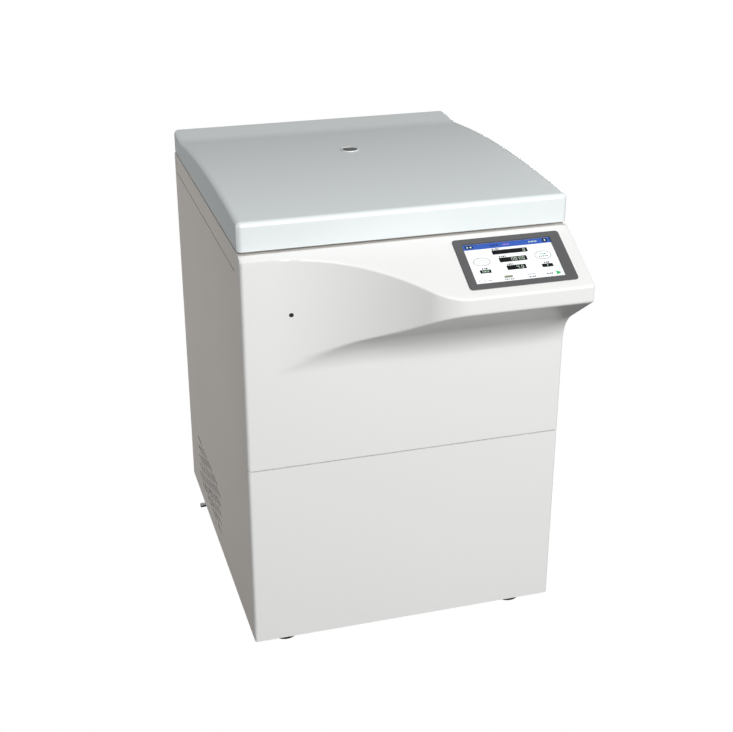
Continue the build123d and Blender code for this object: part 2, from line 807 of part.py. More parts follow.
with BuildPart() as shaft_boot:
    with BuildSketch(Plane.XZ):
        with BuildLine():
            Polyline(
                (boot_bore, chamber_floor_z + boot_flange),
                (boot_flange_radius, chamber_floor_z + boot_flange),
                (boot_flange_radius, chamber_floor_z + fit_gap),
                (bowl_hole_radius + boot_wall, chamber_floor_z + fit_gap),
                (bowl_hole_radius + boot_wall, chamber_floor_z + boot_flange - boot_wall),
                (boot_bore, chamber_floor_z + boot_flange - boot_wall),
                close=True,
            )
        make_face()
        with BuildLine():
            Polyline(
                (boot_bore, chamber_floor_z + boot_flange),
                (boot_bore + boot_wall, chamber_floor_z + boot_flange),
                (boot_bore + boot_wall, chamber_floor_z + boot_height),
                (boot_bore, chamber_floor_z + boot_height),
                close=True,
            )
        make_face()
    revolve(axis=Axis.Z)
save_at_rotor(shaft_boot, "shaft_boot")

# Lid
outer_lid = lid_block(0.0)
inner_lid = lid_block(lid_wall)
with BuildPart() as lid_shell:
    add(outer_lid)
    add(inner_lid, mode=Mode.SUBTRACT)
    with BuildSketch(Plane.XY.offset(lid_base_z)):
        with Locations((0, rotor_y)):
            Circle(sight_glass_radius + fit_gap)
    extrude(amount=2 * lid_crown_height, mode=Mode.SUBTRACT)
    add(hinge_notches(), mode=Mode.SUBTRACT)
save(lid_shell, "lid_shell")

with BuildPart() as lid_liner:
    with BuildSketch(Plane.XY.offset(liner_z)):
        with Locations((0, (lid_front_y + lid_back_y) / 2)):
            RectangleRounded(liner_width, liner_length, lid_corner_radius - lid_wall)
    extrude(amount=liner_flange)
    with BuildSketch(Plane.XY.offset(liner_z + liner_sheet)):
        with Locations((0, (lid_front_y + lid_back_y) / 2)):
            RectangleRounded(
                liner_width - 2 * liner_sheet,
                liner_length - 2 * liner_sheet,
                lid_corner_radius - lid_wall - liner_sheet / 2,
            )
    extrude(amount=liner_flange, mode=Mode.SUBTRACT)
    with BuildSketch(Plane.XY.offset(liner_z)):
        with Locations((0, rotor_y)):
            Circle(sight_glass_radius + fit_gap)
        with Locations((-strut_x, liner_slot_y), (strut_x, liner_slot_y)):
            Rectangle(strut_slot_width, liner_slot_length)
    extrude(amount=liner_sheet, mode=Mode.SUBTRACT)
    add(hinge_notches(), mode=Mode.SUBTRACT)
save(lid_liner, "lid_liner")

with BuildPart() as sight_glass_ring:
    with BuildSketch(Plane.XY.offset(liner_z)):
        with Locations((0, rotor_y)):
            Circle(sight_glass_radius)
            Circle(sight_glass_radius - sight_ring_wall, mode=Mode.SUBTRACT)
    extrude(amount=glass_top_z + sight_ring_rise - liner_z)
    fillet(sight_glass_ring.edges().group_by(Axis.Z)[-1], sight_ring_rise / 2)
save(sight_glass_ring, "sight_glass_ring")

with BuildPart() as sight_glass:
    with BuildSketch(Plane.XY.offset(glass_top_z - sight_glass_thickness)):
        with Locations((0, rotor_y)):
            Circle(sight_glass_radius - sight_ring_wall - pin_clearance)
    extrude(amount=sight_glass_thickness)
save(sight_glass, "sight_glass")

arm_top_z = liner_z + liner_sheet + fit_gap + hinge_arm_thickness
with BuildPart() as lid_hardware:
    for side in (-1, 1):
        with BuildSketch(Plane.YZ.offset(side * hinge_x - hinge_knuckle / 2)):
            with Locations((hinge_y, hinge_z)):
                Circle(hinge_barrel_radius)
            with Locations((hinge_y - hinge_arm_length / 2, arm_top_z - hinge_arm_thickness / 2)):
                Rectangle(hinge_arm_length, hinge_arm_thickness)
            with Locations((hinge_y, hinge_z)):
                Circle(hinge_pin_radius + pin_clearance, mode=Mode.SUBTRACT)
        extrude(amount=hinge_knuckle)
        for leg in (-1, 1):
            leg_x = side * lock_x + leg * (hook_width / 2 + hook_clearance + striker_leg / 2)
            with BuildSketch(Plane.XY.offset(liner_z - striker_length)):
                with Locations((leg_x, striker_y)):
                    Rectangle(striker_leg, striker_thickness)
            extrude(amount=striker_length)
        with BuildSketch(Plane.XY.offset(liner_z - striker_length)):
            with Locations((side * lock_x, striker_y)):
                Rectangle(hook_width + 2 * hook_clearance - 2 * pin_clearance, striker_thickness)
        extrude(amount=striker_bar_z - liner_z + striker_length)
        ear_x = side * (strut_x + strut_eye_thickness / 2 + strut_ear_gap)
        ear_foot_z = liner_z + liner_sheet + fit_gap
        with BuildSketch(Plane.YZ.offset(ear_x)):
            with Locations((strut_top_y, strut_top_z)):
                Circle(strut_end_radius)
            with Locations((strut_top_y, (ear_foot_z + strut_top_z + strut_end_radius) / 2)):
                Rectangle(2 * strut_end_radius, strut_top_z + strut_end_radius - ear_foot_z)
        extrude(amount=side * strut_ear_thickness)
        with BuildSketch(Plane.XY.offset(ear_foot_z)):
            foot_x_middle = side * (abs(ear_x) + strut_ear_thickness + strut_ear_foot / 2)
            with Locations((foot_x_middle, strut_top_y)):
                Rectangle(strut_ear_foot, 2 * strut_end_radius)
        extrude(amount=hinge_arm_thickness)
save(lid_hardware, "lid_hardware")

leaf_top_z = deck_height + hinge_leaf_thickness
with BuildPart() as hinge_leaves:
    for side in (-1, 1):
        for end in (-1, 1):
            knuckle_x = side * hinge_x + end * (hinge_knuckle / 2 + fit_gap + hinge_outer_knuckle / 2)
            with BuildSketch(Plane.YZ.offset(knuckle_x - hinge_outer_knuckle / 2)):
                with Locations((hinge_y, hinge_z)):
                    Circle(hinge_barrel_radius)
                with Locations((hinge_y - hinge_leaf_length / 2, leaf_top_z - hinge_leaf_thickness / 2)):
                    Rectangle(hinge_leaf_length, hinge_leaf_thickness)
            extrude(amount=hinge_outer_knuckle)
        with BuildSketch(Plane.XY.offset(deck_height)):
            with Locations((side * hinge_x, hinge_y - hinge_leaf_length + hinge_leaf_web / 2)):
                Rectangle(hinge_width, hinge_leaf_web)
        extrude(amount=hinge_leaf_thickness)
        with BuildSketch(Plane.YZ.offset(side * hinge_x - hinge_width / 2)):
            with Locations((hinge_y, hinge_z)):
                Circle(hinge_pin_radius)
        extrude(amount=hinge_width)
save(hinge_leaves, "hinge_leaves")

# Gas struts, drawn along their own line from the lower pivot at rest
strut_rest_length = hypot(strut_top_y - strut_base_y, strut_top_z - strut_base_z)
strut_rest_angle = degrees(atan2(strut_top_y - strut_base_y, strut_top_z - strut_base_z))


def strut_plane(x):
    """The upright plane of a strut, its own Z along the strut from the lower pivot."""
    lean = radians(strut_rest_angle)
    return Plane(origin=(x, strut_base_y, strut_base_z), x_dir=(1, 0, 0), z_dir=(0, sin(lean), cos(lean)))


with BuildPart() as strut_cylinders:
    for side in (-1, 1):
        base = strut_plane(side * strut_x)
        with BuildSketch(Plane(base.origin, x_dir=base.z_dir, z_dir=(1, 0, 0))) as eye:
            Circle(strut_end_radius)
            with Locations((strut_tube_start / 2, 0)):
                Rectangle(strut_tube_start, strut_end_radius)
            Circle(strut_pin_radius + pin_clearance, mode=Mode.SUBTRACT)
        extrude(amount=strut_eye_thickness / 2, both=True)
        with BuildSketch(base.offset(strut_tube_start)):
            Circle(strut_radius)
        extrude(amount=strut_tube_length)
        with BuildSketch(base.offset(strut_tube_start + strut_tube_wall)):
            Circle(strut_rod_radius + pin_clearance)
        extrude(amount=strut_tube_length, mode=Mode.SUBTRACT)
save(strut_cylinders, "strut_cylinders")

with BuildPart() as strut_rods:
    for side in (-1, 1):
        base = strut_plane(side * strut_x)
        with BuildSketch(base.offset(strut_rest_length - strut_rod_length)):
            Circle(strut_rod_radius)
        extrude(amount=strut_rod_length - (strut_end_radius + strut_pin_radius) / 2)
        top = base.offset(strut_rest_length)
        with BuildSketch(Plane(top.origin, x_dir=base.z_dir, z_dir=(1, 0, 0))):
            Circle(strut_end_radius)
            Circle(strut_pin_radius, mode=Mode.SUBTRACT)
        extrude(amount=strut_eye_thickness / 2, both=True)
save(strut_rods, "strut_rods")

# Lid lock
with BuildPart() as lock_housings:
    for side in (-1, 1):
        for cheek in (-1, 1):
            cheek_x = side * lock_x + cheek * (lock_cheek_gap + lock_cheek) / 2
            with BuildSketch(Plane.YZ.offset(cheek_x - lock_cheek / 2)):
                with BuildLine():
                    Polyline(
                        (lock_back_y, lock_shaft_z - lock_housing_drop),
                        (lock_front_y, lock_shaft_z - lock_housing_drop),
                        (lock_front_y, deck_under_z - fit_gap),
                        (lock_back_y, deck_under_z - fit_gap),
                        close=True,
                    )
                make_face()
                with Locations((lock_shaft_y, lock_shaft_z)):
                    Circle(lock_shaft_radius + pin_clearance, mode=Mode.SUBTRACT)
            extrude(amount=lock_cheek)
        with BuildSketch(Plane.XY.offset(lock_shaft_z - lock_housing_drop)):
            with Locations((side * lock_x, lock_front_y + lock_cheek / 2)):
                Rectangle(lock_cheek_gap + 2 * lock_cheek, lock_cheek)
        extrude(amount=deck_under_z - fit_gap - lock_shaft_z + lock_housing_drop)
save(lock_housings, "lock_housings")


def unlocked(reach, height):
    """A point of the lock hook, turned back about its shaft from locked to unlocked."""
    turn = radians(lock_angle)
    return (
        lock_shaft_y + reach * cos(turn) - height * sin(turn),
        lock_shaft_z + reach * sin(turn) + height * cos(turn),
    )


with BuildPart() as lock_hooks:
    with BuildSketch(Plane.YZ.offset(-lock_shaft_length / 2)):
        with Locations((lock_shaft_y, lock_shaft_z)):
            Circle(lock_shaft_radius)
    extrude(amount=lock_shaft_length)
    for side in (-1, 1):
        with BuildSketch(Plane.YZ.offset(side * lock_x - hook_width / 2)):
            with BuildLine():
                Polyline(
                    unlocked(-lock_shaft_radius, 0),
                    unlocked(-lock_shaft_radius, hook_height),
                    unlocked(hook_reach, hook_height),
                    unlocked(hook_reach, hook_height - hook_nose),
                    unlocked(lock_shaft_radius, hook_height - hook_nose),
                    unlocked(lock_shaft_radius, 0),
                    close=True,
                )
            make_face()
            with Locations((lock_shaft_y, lock_shaft_z)):
                Circle(lock_hub_radius)
        extrude(amount=hook_width)
save(lock_hooks, "lock_hooks")

# Drive motor
flange_top_z = support_bottom_z - damper_height
motor_top_z = flange_top_z - motor_flange
motor_bottom_z = motor_top_z - motor_length
with BuildPart() as motor_dampers:
    with BuildSketch(Plane.XY.offset(flange_top_z)):
        with PolarLocations(damper_spread, dampers):
            Circle(damper_radius)
    extrude(amount=damper_height)
save_at_rotor(motor_dampers, "motor_dampers")

with BuildPart() as motor_housing:
    with BuildSketch(Plane.XY.offset(motor_bottom_z)):
        Circle(motor_radius)
        Circle(motor_radius - motor_wall, mode=Mode.SUBTRACT)
    extrude(amount=motor_length)
    with BuildSketch(Plane.XY.offset(motor_bottom_z)):
        Circle(motor_radius)
        Circle(bearing_radius + pin_clearance, mode=Mode.SUBTRACT)
    extrude(amount=bearing_height)
    with BuildSketch(Plane.XY.offset(motor_top_z + fit_gap)):
        Circle(damper_spread + damper_radius)
        Circle(bearing_radius + pin_clearance, mode=Mode.SUBTRACT)
    extrude(amount=motor_flange - fit_gap)
save_at_rotor(motor_housing, "motor_housing")

with BuildPart() as motor_stator:
    with BuildSketch(Plane.XY.offset(motor_bottom_z + stator_inset)):
        Circle(motor_radius - motor_wall - pin_clearance)
        Circle(stator_bore, mode=Mode.SUBTRACT)
        with PolarLocations(stator_bore, stator_slots):
            Rectangle(2 * stator_slot, stator_slot_width, mode=Mode.SUBTRACT)
    extrude(amount=motor_length - 2 * stator_inset)
save_at_rotor(motor_stator, "motor_stator")

with BuildPart() as motor_bearings:
    for bearing_z in (motor_bottom_z, flange_top_z - bearing_height):
        with BuildSketch(Plane.XY.offset(bearing_z)):
            Circle(bearing_radius)
            Circle(spindle_radius + pin_clearance, mode=Mode.SUBTRACT)
        extrude(amount=bearing_height)
save_at_rotor(motor_bearings, "motor_bearings")

# Rotor
hub_top_z = trunnion_height + arm_height / 2
with BuildPart() as spindle:
    with BuildSketch(Plane.XY.offset(motor_bottom_z + spindle_foot)):
        Circle(spindle_radius)
    extrude(amount=hub_top_z - motor_bottom_z - spindle_foot)
    with BuildSketch(Plane.XY.offset(hub_top_z)):
        Circle(spindle_thread_radius)
    extrude(amount=spindle_thread)
    with BuildSketch(Plane.XY.offset(motor_bottom_z + stator_inset)):
        Circle(stator_bore - air_gap)
    extrude(amount=motor_length - 2 * stator_inset)
save_at_rotor(spindle, "spindle")

head_inner = bucket_tangential / 2 + lug_thickness + lug_clearance
arm_length = hypot(head_inner, head_inner) + head_shoulder / 2
with BuildPart() as rotor_head:
    with BuildSketch(Plane.XY.offset(trunnion_height - arm_height / 2)):
        Circle(hub_radius)
        with PolarLocations(arm_length / 2, stations, start_angle=180 / stations):
            Rectangle(arm_length, arm_width)
    extrude(amount=arm_height)
    for station in range(stations):
        turned = (0, 0, 360 / stations * station)
        head_plane = Plane.XY.offset(trunnion_height - arm_height / 2).rotated(turned)
        with BuildSketch(head_plane):
            with BuildLine():
                Polyline(
                    (head_inner, head_inner),
                    (head_outer, head_inner),
                    (head_outer, head_inner + head_shoulder),
                    (head_inner + head_shoulder, head_outer),
                    (head_inner, head_outer),
                    close=True,
                )
            make_face()
        extrude(amount=arm_height)
        pin_plane = Plane.XZ.rotated(turned)
        for end in (-1, 1):
            with BuildSketch(pin_plane.offset(end * (bucket_tangential / 2 + lug_clearance / 2))):
                with Locations((trunnion_reach, trunnion_height)):
                    Circle(trunnion_radius)
            extrude(amount=end * (lug_thickness + lug_clearance))
    with BuildSketch(Plane.XY.offset(hub_bottom_z)):
        Circle(hub_neck_radius)
    extrude(amount=trunnion_height - hub_bottom_z)
    with BuildSketch(Plane.XY.offset(hub_bottom_z)):
        Circle(spindle_radius + press_clearance)
    extrude(amount=hub_top_z - hub_bottom_z, mode=Mode.SUBTRACT)
save_at_rotor(rotor_head, "rotor_head")

with BuildPart() as rotor_nut:
    with BuildSketch(Plane.XY.offset(hub_top_z + fit_gap)):
        Circle(nut_radius)
    extrude(amount=nut_height)
    chamfer(rotor_nut.edges().group_by(Axis.Z)[-1], nut_chamfer)
    with BuildSketch(Plane.XY.offset(hub_top_z + fit_gap)):
        Circle(spindle_thread_radius + pin_clearance)
    extrude(amount=spindle_thread, mode=Mode.SUBTRACT)
    with BuildSketch(Plane.XY.offset(hub_top_z + fit_gap)):
        with PolarLocations(nut_radius, nut_grips):
            Circle(nut_grip_radius)
    extrude(amount=nut_height, mode=Mode.SUBTRACT)
save_at_rotor(rotor_nut, "rotor_nut")

bucket_top_z = trunnion_height + bucket_above
bucket_bottom_z = trunnion_height - bucket_below
inner_radial = bucket_radial - 2 * bucket_wall
inner_tangential = bucket_tangential - 2 * bucket_wall
rack_radial = inner_radial - 2 * rack_clearance
rack_tangential = inner_tangential - 2 * rack_clearance
inner_corner = bucket_corner_radius - bucket_wall
rack_bottom_z = bucket_bottom_z + bucket_floor
rack_top_z = trunnion_height - rack_below_trunnion
slot_length = tubes_per_slot * tube_pitch
with BuildPart() as bucket:
    with BuildSketch(Plane.XY.offset(bucket_bottom_z)):
        with Locations((trunnion_reach, 0)):
            RectangleRounded(bucket_radial, bucket_tangential, bucket_corner_radius)
    extrude(amount=bucket_top_z - bucket_bottom_z)
    fillet(bucket.edges().group_by(Axis.Z)[0], bucket_floor)
    for end in (-1, 1):
        with BuildSketch(Plane.XZ.offset(end * bucket_tangential / 2)):
            with Locations((trunnion_reach, trunnion_height - lug_drop / 2)):
                Rectangle(2 * lug_half_width, lug_drop)
            with Locations((trunnion_reach, trunnion_height)):
                Circle(lug_half_width)
            with Locations((trunnion_reach, trunnion_height - lug_drop)):
                Rectangle(2 * (trunnion_radius + pin_clearance), 2 * lug_drop, mode=Mode.SUBTRACT)
            with Locations((trunnion_reach, trunnion_height)):
                Circle(trunnion_radius + pin_clearance, mode=Mode.SUBTRACT)
        extrude(amount=end * lug_thickness)
    with BuildSketch(Plane.XY.offset(rack_bottom_z)):
        with Locations((trunnion_reach, 0)):
            RectangleRounded(inner_radial, inner_tangential, inner_corner)
    extrude(amount=bucket_top_z - rack_bottom_z, mode=Mode.SUBTRACT)

with BuildPart() as tube_rack:
    with BuildSketch(Plane.XY.offset(rack_bottom_z)):
        with Locations((trunnion_reach, 0)):
            RectangleRounded(rack_radial, rack_tangential, inner_corner - rack_clearance)
    extrude(amount=rack_top_z - rack_bottom_z)
    with BuildSketch(Plane.XY.offset(rack_bottom_z + rack_floor)):
        for slot in range(slots):
            with Locations((trunnion_reach + (slot - (slots - 1) / 2) * slot_pitch, 0)):
                SlotOverall(slot_length, slot_width, rotation=90)
    extrude(amount=rack_top_z - rack_bottom_z, mode=Mode.SUBTRACT)

grid_bottom_z = rack_top_z + fit_gap
with BuildPart() as decap_grid:
    with BuildSketch(Plane.XY.offset(grid_bottom_z)):
        with Locations((trunnion_reach, 0)):
            RectangleRounded(rack_radial, rack_tangential, inner_corner - rack_clearance)
        for slot in range(slots):
            with Locations((trunnion_reach + (slot - (slots - 1) / 2) * slot_pitch, 0)):
                SlotOverall(slot_length, slot_width, rotation=90, mode=Mode.SUBTRACT)
    extrude(amount=grid_thickness)
    with BuildSketch(Plane.XY.offset(grid_bottom_z + grid_thickness - cap_seat_depth)):
        for slot in range(slots):
            for tube in range(tubes_per_slot):
                with Locations((
                    trunnion_reach + (slot - (slots - 1) / 2) * slot_pitch,
                    (tube - (tubes_per_slot - 1) / 2) * tube_pitch,
                )):
                    Circle(cap_seat_radius)
    extrude(amount=cap_seat_depth, mode=Mode.SUBTRACT)

for station in range(stations):
    for shape, name in ((bucket, "bucket"), (tube_rack, "tube_rack"), (decap_grid, "decap_grid")):
        with BuildPart() as placed:
            add(shape.part.rotate(Axis.Z, 360 / stations * station))
        save_at_rotor(placed, f"{name}_{station + 1}")

# Cooling unit
with BuildPart() as compressor:
    with Locations((compressor_x, compressor_y, compressor_bottom_z)):
        Cylinder(compressor_radius, compressor_height, align=(Align.CENTER, Align.CENTER, Align.MIN))
    fillet(compressor.edges(), compressor_edge_radius)
    with BuildSketch(Plane.XY.offset(base_z + tray_sheet)):
        with Locations((compressor_x, compressor_y)):
            Circle(compressor_foot_radius)
    extrude(amount=compressor_bottom_z + compressor_edge_radius - base_z - tray_sheet)
save(compressor, "compressor")

condenser_x = -side_inner_x + condenser_gap + condenser_thickness / 2
condenser_bottom_z = base_z + tray_sheet
with BuildPart() as condenser:
    with BuildSketch(Plane.XY.offset(condenser_bottom_z)):
        with Locations((condenser_x, condenser_y)):
            Rectangle(condenser_thickness, condenser_width)
            Rectangle(
                condenser_thickness, condenser_width - 2 * condenser_end, mode=Mode.SUBTRACT
            )
    extrude(amount=condenser_height)
    for level in range(condenser_fins):
        fin_z = condenser_bottom_z + level * (condenser_height - condenser_end) / (condenser_fins - 1)
        with BuildSketch(Plane.XY.offset(fin_z)):
            with Locations((condenser_x, condenser_y)):
                Rectangle(condenser_thickness, condenser_width - condenser_end)
        extrude(amount=condenser_end)
    shroud_x = condenser_x + condenser_thickness / 2
    fan_z = condenser_bottom_z + condenser_height / 2
    with BuildSketch(Plane.YZ.offset(shroud_x)):
        with Locations((condenser_y, fan_z)):
            Rectangle(condenser_width, condenser_height)
            Circle(fan_radius + fan_gap, mode=Mode.SUBTRACT)
    extrude(amount=sheet)
    with BuildSketch(Plane.YZ.offset(shroud_x)):
        with Locations((condenser_y, fan_z)):
            Circle(fan_radius + fan_gap + sheet)
            Circle(fan_radius + fan_gap, mode=Mode.SUBTRACT)
    extrude(amount=fan_depth)
    with BuildSketch(Plane.YZ.offset(shroud_x + fan_depth)):
        with Locations((condenser_y, fan_z)):
            Rectangle(fan_bridge, 2 * (fan_radius + fan_gap + sheet))
            Circle(fan_shaft_radius + fit_gap, mode=Mode.SUBTRACT)
    extrude(amount=sheet)
save(condenser, "condenser")

hub_start_x = shroud_x + sheet
hub_end_x = shroud_x + fan_depth - fit_gap
with BuildPart() as fan_motor:
    with BuildSketch(Plane.YZ.offset(shroud_x + fan_depth + sheet)):
        with Locations((condenser_y, fan_z)):
            Circle(fan_motor_radius)
    extrude(amount=fan_motor_length)
    fillet(fan_motor.faces().sort_by(Axis.X)[-1].edges(), fan_motor_edge_radius)
    with BuildSketch(Plane.YZ.offset(hub_start_x)):
        with Locations((condenser_y, fan_z)):
            Circle(fan_shaft_radius)
    extrude(amount=fan_depth)
save(fan_motor, "fan_motor")

with BuildPart() as fan_blades:
    with BuildSketch(Plane.YZ.offset(hub_start_x)):
        with Locations((condenser_y, fan_z)):
            Circle(fan_hub_radius)
    extrude(amount=hub_end_x - hub_start_x)
    for blade in range(fan_blade_count):
        turn = radians(360 / fan_blade_count * blade)
        twist = radians(fan_pitch)
        blade_plane = Plane(
            origin=((hub_start_x + hub_end_x) / 2, condenser_y, fan_z),
            x_dir=(sin(twist), -sin(turn) * cos(twist), cos(turn) * cos(twist)),
            z_dir=(0, cos(turn), sin(turn)),
        )
        with BuildSketch(blade_plane.offset(fan_hub_radius / 2)):
            Rectangle(fan_blade_chord, fan_blade_thickness)
        extrude(amount=fan_radius - fan_hub_radius / 2)
    with BuildSketch(Plane.YZ.offset(hub_start_x)):
        with Locations((condenser_y, fan_z)):
            Circle(fan_shaft_radius + pin_clearance)
    extrude(amount=fan_depth, mode=Mode.SUBTRACT)
save(fan_blades, "fan_blades")

with BuildPart() as refrigerant_pipes:
    with BuildLine() as pipe_path:
        FilletPolyline(
            (condenser_x, pipe_y, condenser_bottom_z + condenser_height),
            (condenser_x, pipe_y, pipe_top_z),
            (compressor_x, pipe_y, pipe_top_z),
            (compressor_x, compressor_y, pipe_top_z),
            (compressor_x, compressor_y, compressor_bottom_z + compressor_height),
            radius=pipe_bend,
        )
    with BuildSketch(Plane.XY.offset(condenser_bottom_z + condenser_height)):
        with Locations((condenser_x, pipe_y)):
            Circle(pipe_radius)
    sweep(path=pipe_path.wires()[0])
    with BuildSketch(Plane.YZ.offset((condenser_x + compressor_x - drier_length) / 2)):
        with Locations((pipe_y, pipe_top_z)):
            Circle(drier_radius)
    extrude(amount=drier_length)
save(refrigerant_pipes, "refrigerant_pipes")

# Electronics and inlets
with BuildPart() as electrical_box:
    box_middle_y = (box_front_y + box_back_y) / 2
    with BuildSketch(Plane.XY.offset(base_z + tray_sheet)):
        with Locations((0, box_middle_y)):
            Rectangle(box_width, box_back_y - box_front_y)
    extrude(amount=box_height)
    with BuildSketch(Plane.XY.offset(base_z + tray_sheet + sheet)):
        with Locations((0, box_middle_y)):
            Rectangle(box_width - 2 * sheet, box_back_y - box_front_y - 2 * sheet)
    extrude(amount=box_height, mode=Mode.SUBTRACT)
save(electrical_box, "electrical_box")

with BuildPart() as motor_drive:
    drive_z = base_z + tray_sheet + sheet
    with BuildSketch(Plane.XY.offset(drive_z)):
        with Locations((drive_x, box_middle_y)):
            Rectangle(drive_width, drive_depth)
    extrude(amount=drive_height)
    with BuildSketch(Plane.XY.offset(drive_z + drive_height)):
        with Locations((drive_x, box_middle_y)):
            with GridLocations(drive_width / drive_fins, 0, drive_fins, 1):
                Rectangle(sheet, drive_depth)
    extrude(amount=drive_fin_height)
save(motor_drive, "motor_drive")

with BuildPart() as display_bezel:
    with BuildSketch(slope_plane.offset(fit_gap)):
        RectangleRounded(bezel_width, bezel_length, bezel_corner_radius)
    extrude(amount=bezel_rise - fit_gap)
    fillet(display_bezel.faces().sort_by(Axis.Z)[-1].edges(), bezel_edge_radius)
    with BuildSketch(slope_plane.offset(-bezel_depth)):
        Rectangle(bezel_width - 2 * bezel_lip - 2 * fit_gap, bezel_length - 2 * bezel_lip - 2 * fit_gap)
    extrude(amount=bezel_depth + fit_gap)
    with BuildSketch(slope_plane.offset(-bezel_depth)):
        with Locations((screen_offset, 0)):
            Rectangle(screen_width, screen_length)
    extrude(amount=bezel_depth + bezel_rise, mode=Mode.SUBTRACT)
    with BuildSketch(slope_plane.offset(-bezel_depth)):
        with Locations((screen_offset, 0)):
            Rectangle(
                screen_width + 2 * screen_margin + 2 * fit_gap,
                screen_length + 2 * screen_margin + 2 * fit_gap,
            )
    extrude(amount=bezel_depth - screen_recess, mode=Mode.SUBTRACT)
save(display_bezel, "display_bezel")

with BuildPart() as display_screen:
    with BuildSketch(slope_plane.offset(-bezel_depth)):
        with Locations((screen_offset, 0)):
            Rectangle(screen_width + 2 * screen_margin, screen_length + 2 * screen_margin)
    extrude(amount=bezel_depth - screen_recess - fit_gap)
save(display_screen, "display_screen")

with BuildPart() as mains_inlet:
    with BuildSketch(Plane.XZ.offset(-rear_y)):
        with Locations((inlet_x, inlet_z)):
            RectangleRounded(inlet_width + 2 * inlet_flange, inlet_height + 2 * inlet_flange, inlet_flange)
    extrude(amount=-inlet_standoff)
    with BuildSketch(Plane.XZ.offset(-rear_y)):
        with Locations((inlet_x, inlet_z)):
            Rectangle(inlet_width, inlet_height)
    extrude(amount=inlet_depth)
    with BuildSketch(Plane.XZ.offset(-rear_y - inlet_standoff)):
        with Locations((inlet_x, inlet_z)):
            Rectangle(inlet_width - 2 * sheet, inlet_height - 2 * sheet)
    extrude(amount=inlet_depth + inlet_standoff - 2 * sheet, mode=Mode.SUBTRACT)
    with BuildSketch(Plane.XZ.offset(-rear_y + inlet_depth)):
        with Locations(
            (inlet_x - inlet_pin_pitch, inlet_z - sheet),
            (inlet_x + inlet_pin_pitch, inlet_z - sheet),
            (inlet_x, inlet_z + sheet),
        ):
            Rectangle(inlet_pin_width, inlet_pin_height)
    extrude(amount=-inlet_depth)
save(mains_inlet, "mains_inlet")

with BuildPart() as breaker_body:
    with BuildSketch(Plane.XZ.offset(-rear_y)):
        with Locations((breaker_x, inlet_z)):
            Rectangle(breaker_width, breaker_height)
    extrude(amount=breaker_depth)
    with BuildSketch(Plane.YZ.offset(breaker_x - breaker_slot_width / 2)):
        with Locations((rear_y, inlet_z)):
            Circle(toggle_radius + fit_gap)
    extrude(amount=breaker_slot_width, mode=Mode.SUBTRACT)
    with BuildSketch(Plane.YZ.offset(breaker_x - breaker_slot_width / 2)):
        with Locations((rear_y - toggle_inset, inlet_z)):
            Circle(toggle_pin_radius)
    extrude(amount=breaker_slot_width)
save(breaker_body, "breaker_body")

with BuildPart() as breaker_toggle:
    with BuildSketch(Plane.YZ.offset(breaker_x - breaker_slot_width / 2 + fit_gap)):
        with Locations((rear_y - toggle_inset, inlet_z)):
            Circle(toggle_barrel)
        with BuildLine():
            Polyline(
                (rear_y - toggle_inset, inlet_z - toggle_lever / 2),
                (rear_y + toggle_reach, inlet_z - toggle_tilt - toggle_lever / 2),
                (rear_y + toggle_reach, inlet_z - toggle_tilt + toggle_lever / 2),
                (rear_y - toggle_inset, inlet_z + toggle_lever / 2),
                close=True,
            )
        make_face()
        with Locations((rear_y - toggle_inset, inlet_z)):
            Circle(toggle_pin_radius + pin_clearance, mode=Mode.SUBTRACT)
    extrude(amount=breaker_slot_width - 2 * fit_gap)
save(breaker_toggle, "breaker_toggle")

# Chamber drain
with BuildPart() as drain_hose:
    with BuildSketch(Plane.XY.offset(hose_bottom_z)):
        with Locations((drain_x, spigot_y)):
            Circle(hose_radius)
            Circle(spigot_radius - nozzle_step + pin_clearance, mode=Mode.SUBTRACT)
    extrude(amount=chamber_floor_z - bowl_wall - fit_gap - hose_bottom_z)
save(drain_hose, "drain_hose")

with BuildPart() as drain_spigot:
    with BuildLine() as spigot_path:
        FilletPolyline(
            (-half_width - spigot_reach, spigot_y, spigot_z),
            (drain_x, spigot_y, spigot_z),
            (drain_x, spigot_y, hose_bottom_z + spigot_overlap),
            radius=base_z - spigot_z,
        )
    with BuildSketch(Plane.YZ.offset(-half_width - spigot_reach)):
        with Locations((spigot_y, spigot_z)):
            Circle(spigot_radius - nozzle_step)
    sweep(path=spigot_path.wires()[0])
    with BuildSketch(Plane.YZ.offset(-half_width - spigot_reach)):
        with Locations((spigot_y, spigot_z)):
            Circle(spigot_radius)
    extrude(amount=nozzle_length)
save(drain_spigot, "drain_spigot")
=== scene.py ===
"""Finishes for a floor-standing decapping centrifuge: covers, glass, lit display, metalwork and studio."""

import json
import math

import bmesh
import bpy
from mathutils import Matrix, Vector

